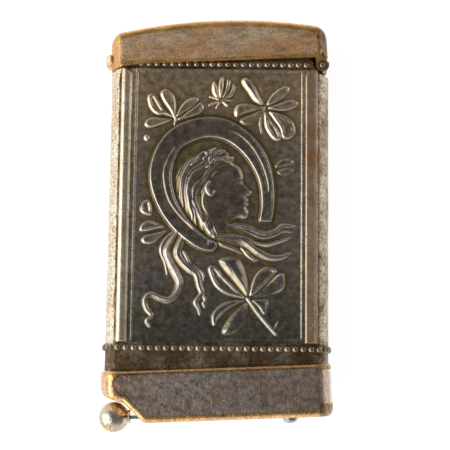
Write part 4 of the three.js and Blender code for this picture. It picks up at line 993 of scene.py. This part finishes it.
sections = []
crossings = np.concatenate([np.arange(-17.0, -12.0, 0.2), np.linspace(-12, 17.0, 80)])
for inset, radius in ((0.0, base_round), (base_wall, base_round - base_wall)):
    front = oval(base_width, 2 * middle, base_bow, inset, 1.6, crossings)[0]
    for x, half in front:
        foot, rim_y, half = base_foot(x, inset), base_rim(x, inset), max(half, 0.0)
        r = min(radius, 0.98 * half, 0.45 * (rim_y - foot))
        turn = np.linspace(0, math.pi / 2, 7)
        side = [(foot, z) for z in np.linspace(0, half - r, 6)[:-1]]
        side += [(foot + r - r * math.cos(a), half - r + r * math.sin(a)) for a in turn]
        side += [(y, half) for y in np.linspace(foot + r, rim_y - r, 20)[1:-1]]
        side += [(rim_y - r + r * math.sin(a), half - r + r * math.cos(a)) for a in turn]
        side += [(rim_y, z) for z in np.linspace(half - r, 0, 6)[1:]]
        loop = np.array(side + [(y, -z) for y, z in side[-2:0:-1]])
        sections.append(np.column_stack([np.full(len(loop), x), loop[:, 0], loop[:, 1] + middle]))
spans, around = len(front), len(sections[0])
outside = [tuple(f) for f in ring_faces(spans, around)]


def solid_of(name, points, faces):
    """A closed mesh as an object to cut or cut with."""
    return linked(name, closed_mesh(name, points, faces, True))


def prism(outline, y0, y1):
    """An outline in x and z, standing along y."""
    n = len(outline)
    points = [(x, y, z) for y in (y0, y1) for x, z in outline]
    return points, [*ring_faces(2, n), tuple(range(n))[::-1], tuple(range(n, 2 * n))]


cap = solid_of("cap_outside", np.vstack(sections[:spans]), outside)
core = solid_of("cap_inside", np.vstack(sections[spans:]), outside)
mouth = oval(tube_width, tube_depth, tube_bow, -0.3)[1] + (0, middle)
circle = [(hole_x + hole_radius * math.cos(a), middle + hole_radius * math.sin(a))
          for a in np.linspace(0, 2 * math.pi, 49)[:-1]]
slot = [(end_x + way * slot_half * math.sin(a), middle - way * slot_half * math.cos(a))
        for end_x, way in ((stud_x, 1), (stud_x - travel, -1)) for a in np.linspace(0, math.pi, 13)]
tools = [core, solid_of("mouth", *prism(mouth, 7.7, 10.0)), solid_of("cigar_hole", *prism(circle, -2.5, 1.0)),
         solid_of("stud_slot", *prism(slot, -2.5, 1.0)),
         solid_of("slide_slit", *strip_box(ball_x, -11.7, -0.15, 0.8, middle - 4.5, middle + 4.5)),
         solid_of("striker_window", *strip_box(14.0, 24.0, 1.7, 7.3, middle - 3.6, middle + 3.6))]
for tool in tools:
    cut = cap.modifiers.new(tool.name, "BOOLEAN")
    cut.operation, cut.solver, cut.object = "DIFFERENCE", "EXACT", tool
bpy.context.view_layer.update()
mesh = bpy.data.meshes.new_from_object(cap.evaluated_get(bpy.context.evaluated_depsgraph_get()))
for spare in [cap, *tools]:
    bpy.data.objects.remove(spare)


def base_field(p):
    """How far points lie inside the base's plated field."""
    foot, ahead = (np.interp(p[:, 0] + d, foot_curve[:, 0], foot_curve[:, 1]) for d in (0.0, 0.05))
    above_foot = (p[:, 1] - foot) / np.hypot(1, (ahead - foot) / 0.05)
    return inner_edge(base_high - p[:, 1] - 0.85, above_foot - 1.2, p[:, 0] + 17.6, 18.3 - p[:, 0], corner=1.8)


def beside_striker(p):
    """The right end of the base, above and below the striker."""
    return (p[:, 0] > 17.5) * (np.abs(p[:, 1] - 4.5) > 2.9)


def base_wear(p, n):
    """Through to the brass in a band round the front and back, on all edges and round the striker."""
    band = 0.95 * step((0.15 - base_field(p)) / 0.3) * (np.abs(n[:, 2]) > 0.8)
    edges = np.clip(2.4 * np.abs(n[:, 1]) * np.hypot(n[:, 0], n[:, 2]), 0, 1)
    left = 0.55 * (p[:, 0] < -18) * (np.abs(n[:, 0]) > 0.8)
    return np.maximum.reduce([band, 0.95 * edges, left, 0.7 * beside_striker(p), 0.24 * step((p[:, 0] - 2) / 14)])


def base_stain(p, n):
    """A dark line inside the bare band, and dull top, foot and right end."""
    line = 0.8 * np.exp(-((base_field(p) + 0.08) / 0.2) ** 2) * (np.abs(n[:, 2]) > 0.8)
    dull = 0.15 + 0.35 * (np.abs(n[:, 1]) > 0.95)
    return np.maximum.reduce([line, dull, 0.62 * beside_striker(p)])


base_plate = plate("scratched_base", (0.54, 0.46, 0.41, 1), (0.50, 0.36, 0.28, 1), (0.84, 0.48, 0.19, 1), 0.36,
                   pits=0.8, pit_size=0.5, scratch=0.45, speckle=0.25, uneven_by=2.1)
seat("base_cap_shell", mesh, "case", "base_plate", base_plate, "base_cap", lean=base_lean, sharp=40, worn=base_wear,
     stain=base_stain)
striker = plate("filed_steel", (0.92, 0.87, 0.76, 1), (0.74, 0.66, 0.54, 1), (0.55, 0.45, 0.3, 1), 0.34, pits=0.7,
                pit_size=0.5, scratch=0.4, speckle=0.4, uneven_by=2.0)
dressed("striker_file", "striker_plate", "case", "steel", striker, 0.04, 20)


# Cutter. A flat steel slide runs across the inside of the base; the ball is its thumb piece and a stud with a
# washer guides it in the slot. Drawn out, its sharp-edged hole meets the hole in the base.
dressed("cutter_slide_blade", "cutter_blade", "cutter", "steel", steel, 0.05)
dressed("stud_washer_ring", "stud_washer", "cutter", "steel", steel, 0.05)
profile = [(0.02, -ball_radius)]
reach = math.pi / 2 - math.asin(1.2 / ball_radius) + math.pi / 2
profile += [(ball_radius * math.sin(a), -ball_radius * math.cos(a)) for a in np.linspace(0, reach, 26)[1:]]
profile += [(1.12, 2.47), (1.18, 2.55), (1.2, 2.77), (1.13, 2.88), (1.0, 2.9), (0.7, 2.9)]
ball_plate = plate("polished_ball", (0.72, 0.66, 0.56, 1), (0.56, 0.49, 0.38, 1), (0.64, 0.44, 0.18, 1), 0.24,
                   pits=0.7, pit_size=0.8, scratch=0.3)
make("thumb_ball_turned", turned_bar(profile, 48, "x", (ball_x, ball_y, middle)), "cutter", "ball_plate", ball_plate,
     "thumb_ball", lean=base_lean, sharp=50,
     worn=lambda p, n: 0.1 + 0.55 * np.clip(-0.7 * n[:, 0] - 0.8 * n[:, 1] - 0.25 * n[:, 2], 0, 1))
dome = [(1.25 * math.sin(a), -0.45 - 0.7 * math.cos(a)) for a in np.linspace(0.02, math.pi / 2, 9)]
profile = [*dome, (0.75, -0.45), (0.75, 1.3), (1.1, 1.3), (1.1, 1.5), (1.0, 1.6)]
make("guide_stud_domed", turned_bar(profile, 32, "y", (stud_x, -0.6, middle)), "cutter", "steel", steel,
     "guide_stud", lean=base_lean, sharp=40)


# Floor: a wide white sheet under the case, turned up at its far edges. It shows its own white to the eye and in
# the metal, and keeps the shadow.
floor_mesh = bpy.data.meshes.new("floor")
corners = [(-4, -4), (4, -4), (4, 4), (-4, 4)]
floor_mesh.from_pydata([(x, y, z) for z in (-0.00005, 0.5) for x, y in corners], [],
                       [(0, 1, 2, 3), (0, 4, 5, 1), (1, 5, 6, 2), (2, 6, 7, 3), (3, 7, 4, 0)])
floor = linked("floor", floor_mesh)
paper = bpy.data.materials.new("white_paper")
tree = emptied(paper)
seen = add(tree, "ShaderNodeLightPath").outputs
direct = calc(tree, "ADD", calc(tree, "ADD", seen["Is Camera Ray"], seen["Is Glossy Ray"]),
              seen["Is Transmission Ray"], True)
white = add(tree, "ShaderNodeEmission", {"Color": (1, 1, 1, 1), "Strength": calc(tree, "MULTIPLY", direct, 0.87)})
matt = add(tree, "ShaderNodeBsdfDiffuse", {"Color": (0.46, 0.46, 0.46, 1)})
sheet = add(tree, "ShaderNodeAddShader", {0: matt.outputs[0], 1: white.outputs[0]})
add(tree, "ShaderNodeOutputMaterial", {"Surface": sheet.outputs[0]})
floor_mesh.materials.append(paper)


# Light: a room that is bright low down and dim overhead, a broad lamp at the left and a weaker one at the right.
world = bpy.data.worlds.new("room")
bpy.context.scene.world = world
tree = emptied(world)
way = add(tree, "ShaderNodeSeparateXYZ", {0: add(tree, "ShaderNodeTexCoord").outputs["Generated"]}).outputs
toward = weighed(tree, way[0], -0.88, way[1], -0.44)
walls = mix(tree, ramp(tree, toward, -0.8, 0.8), (0.22, 0.217, 0.213, 1), (1.2, 1.19, 1.17, 1))
glow = mix(tree, ramp(tree, way[2], 0.25, 0.85), walls, (0.17, 0.165, 0.16, 1))
backdrop = add(tree, "ShaderNodeBackground", {"Color": glow, "Strength": 1.0})
add(tree, "ShaderNodeOutputWorld", {"Surface": backdrop.outputs[0]})


def lamp(name, place, size, power):
    """A square lamp turned to the case."""
    data = bpy.data.lights.new(name, "AREA")
    data.shape, data.size, data.size_y, data.energy = "RECTANGLE", size[0], size[1], power
    made = linked(name, data)
    made.location = place
    made.rotation_mode = "QUATERNION"
    made.rotation_quaternion = (-Vector(place)).to_track_quat("-Z", "Y")


lamp("left_lamp", (-0.43, -0.147, 0.262), (0.63, 0.63), 2.25)
lamp("right_lamp", (0.42, 0.20, 0.26), (0.30, 0.40), 0.25)


# Camera: nearly straight down on the front, a little from the base.
target = (origin + Vector((1.2, 33.0, 11.8))) / 1000
camera_data = bpy.data.cameras.new("camera")
camera_data.sensor_width, camera_data.lens = 36.0, 87.36
camera_data.clip_start, camera_data.clip_end = 0.01, 20.0
camera = linked("camera", camera_data)
camera.location = target + Vector((0, -0.0248, 0.18837))
camera.rotation_mode = "QUATERNION"
camera_roll = Quaternion((0, 0, 1), math.radians(0.7))
camera.rotation_quaternion = (target - camera.location).to_track_quat("-Z", "Y") @ camera_roll
bpy.context.scene.camera = camera
bpy.context.scene.view_settings.view_transform = "Standard"
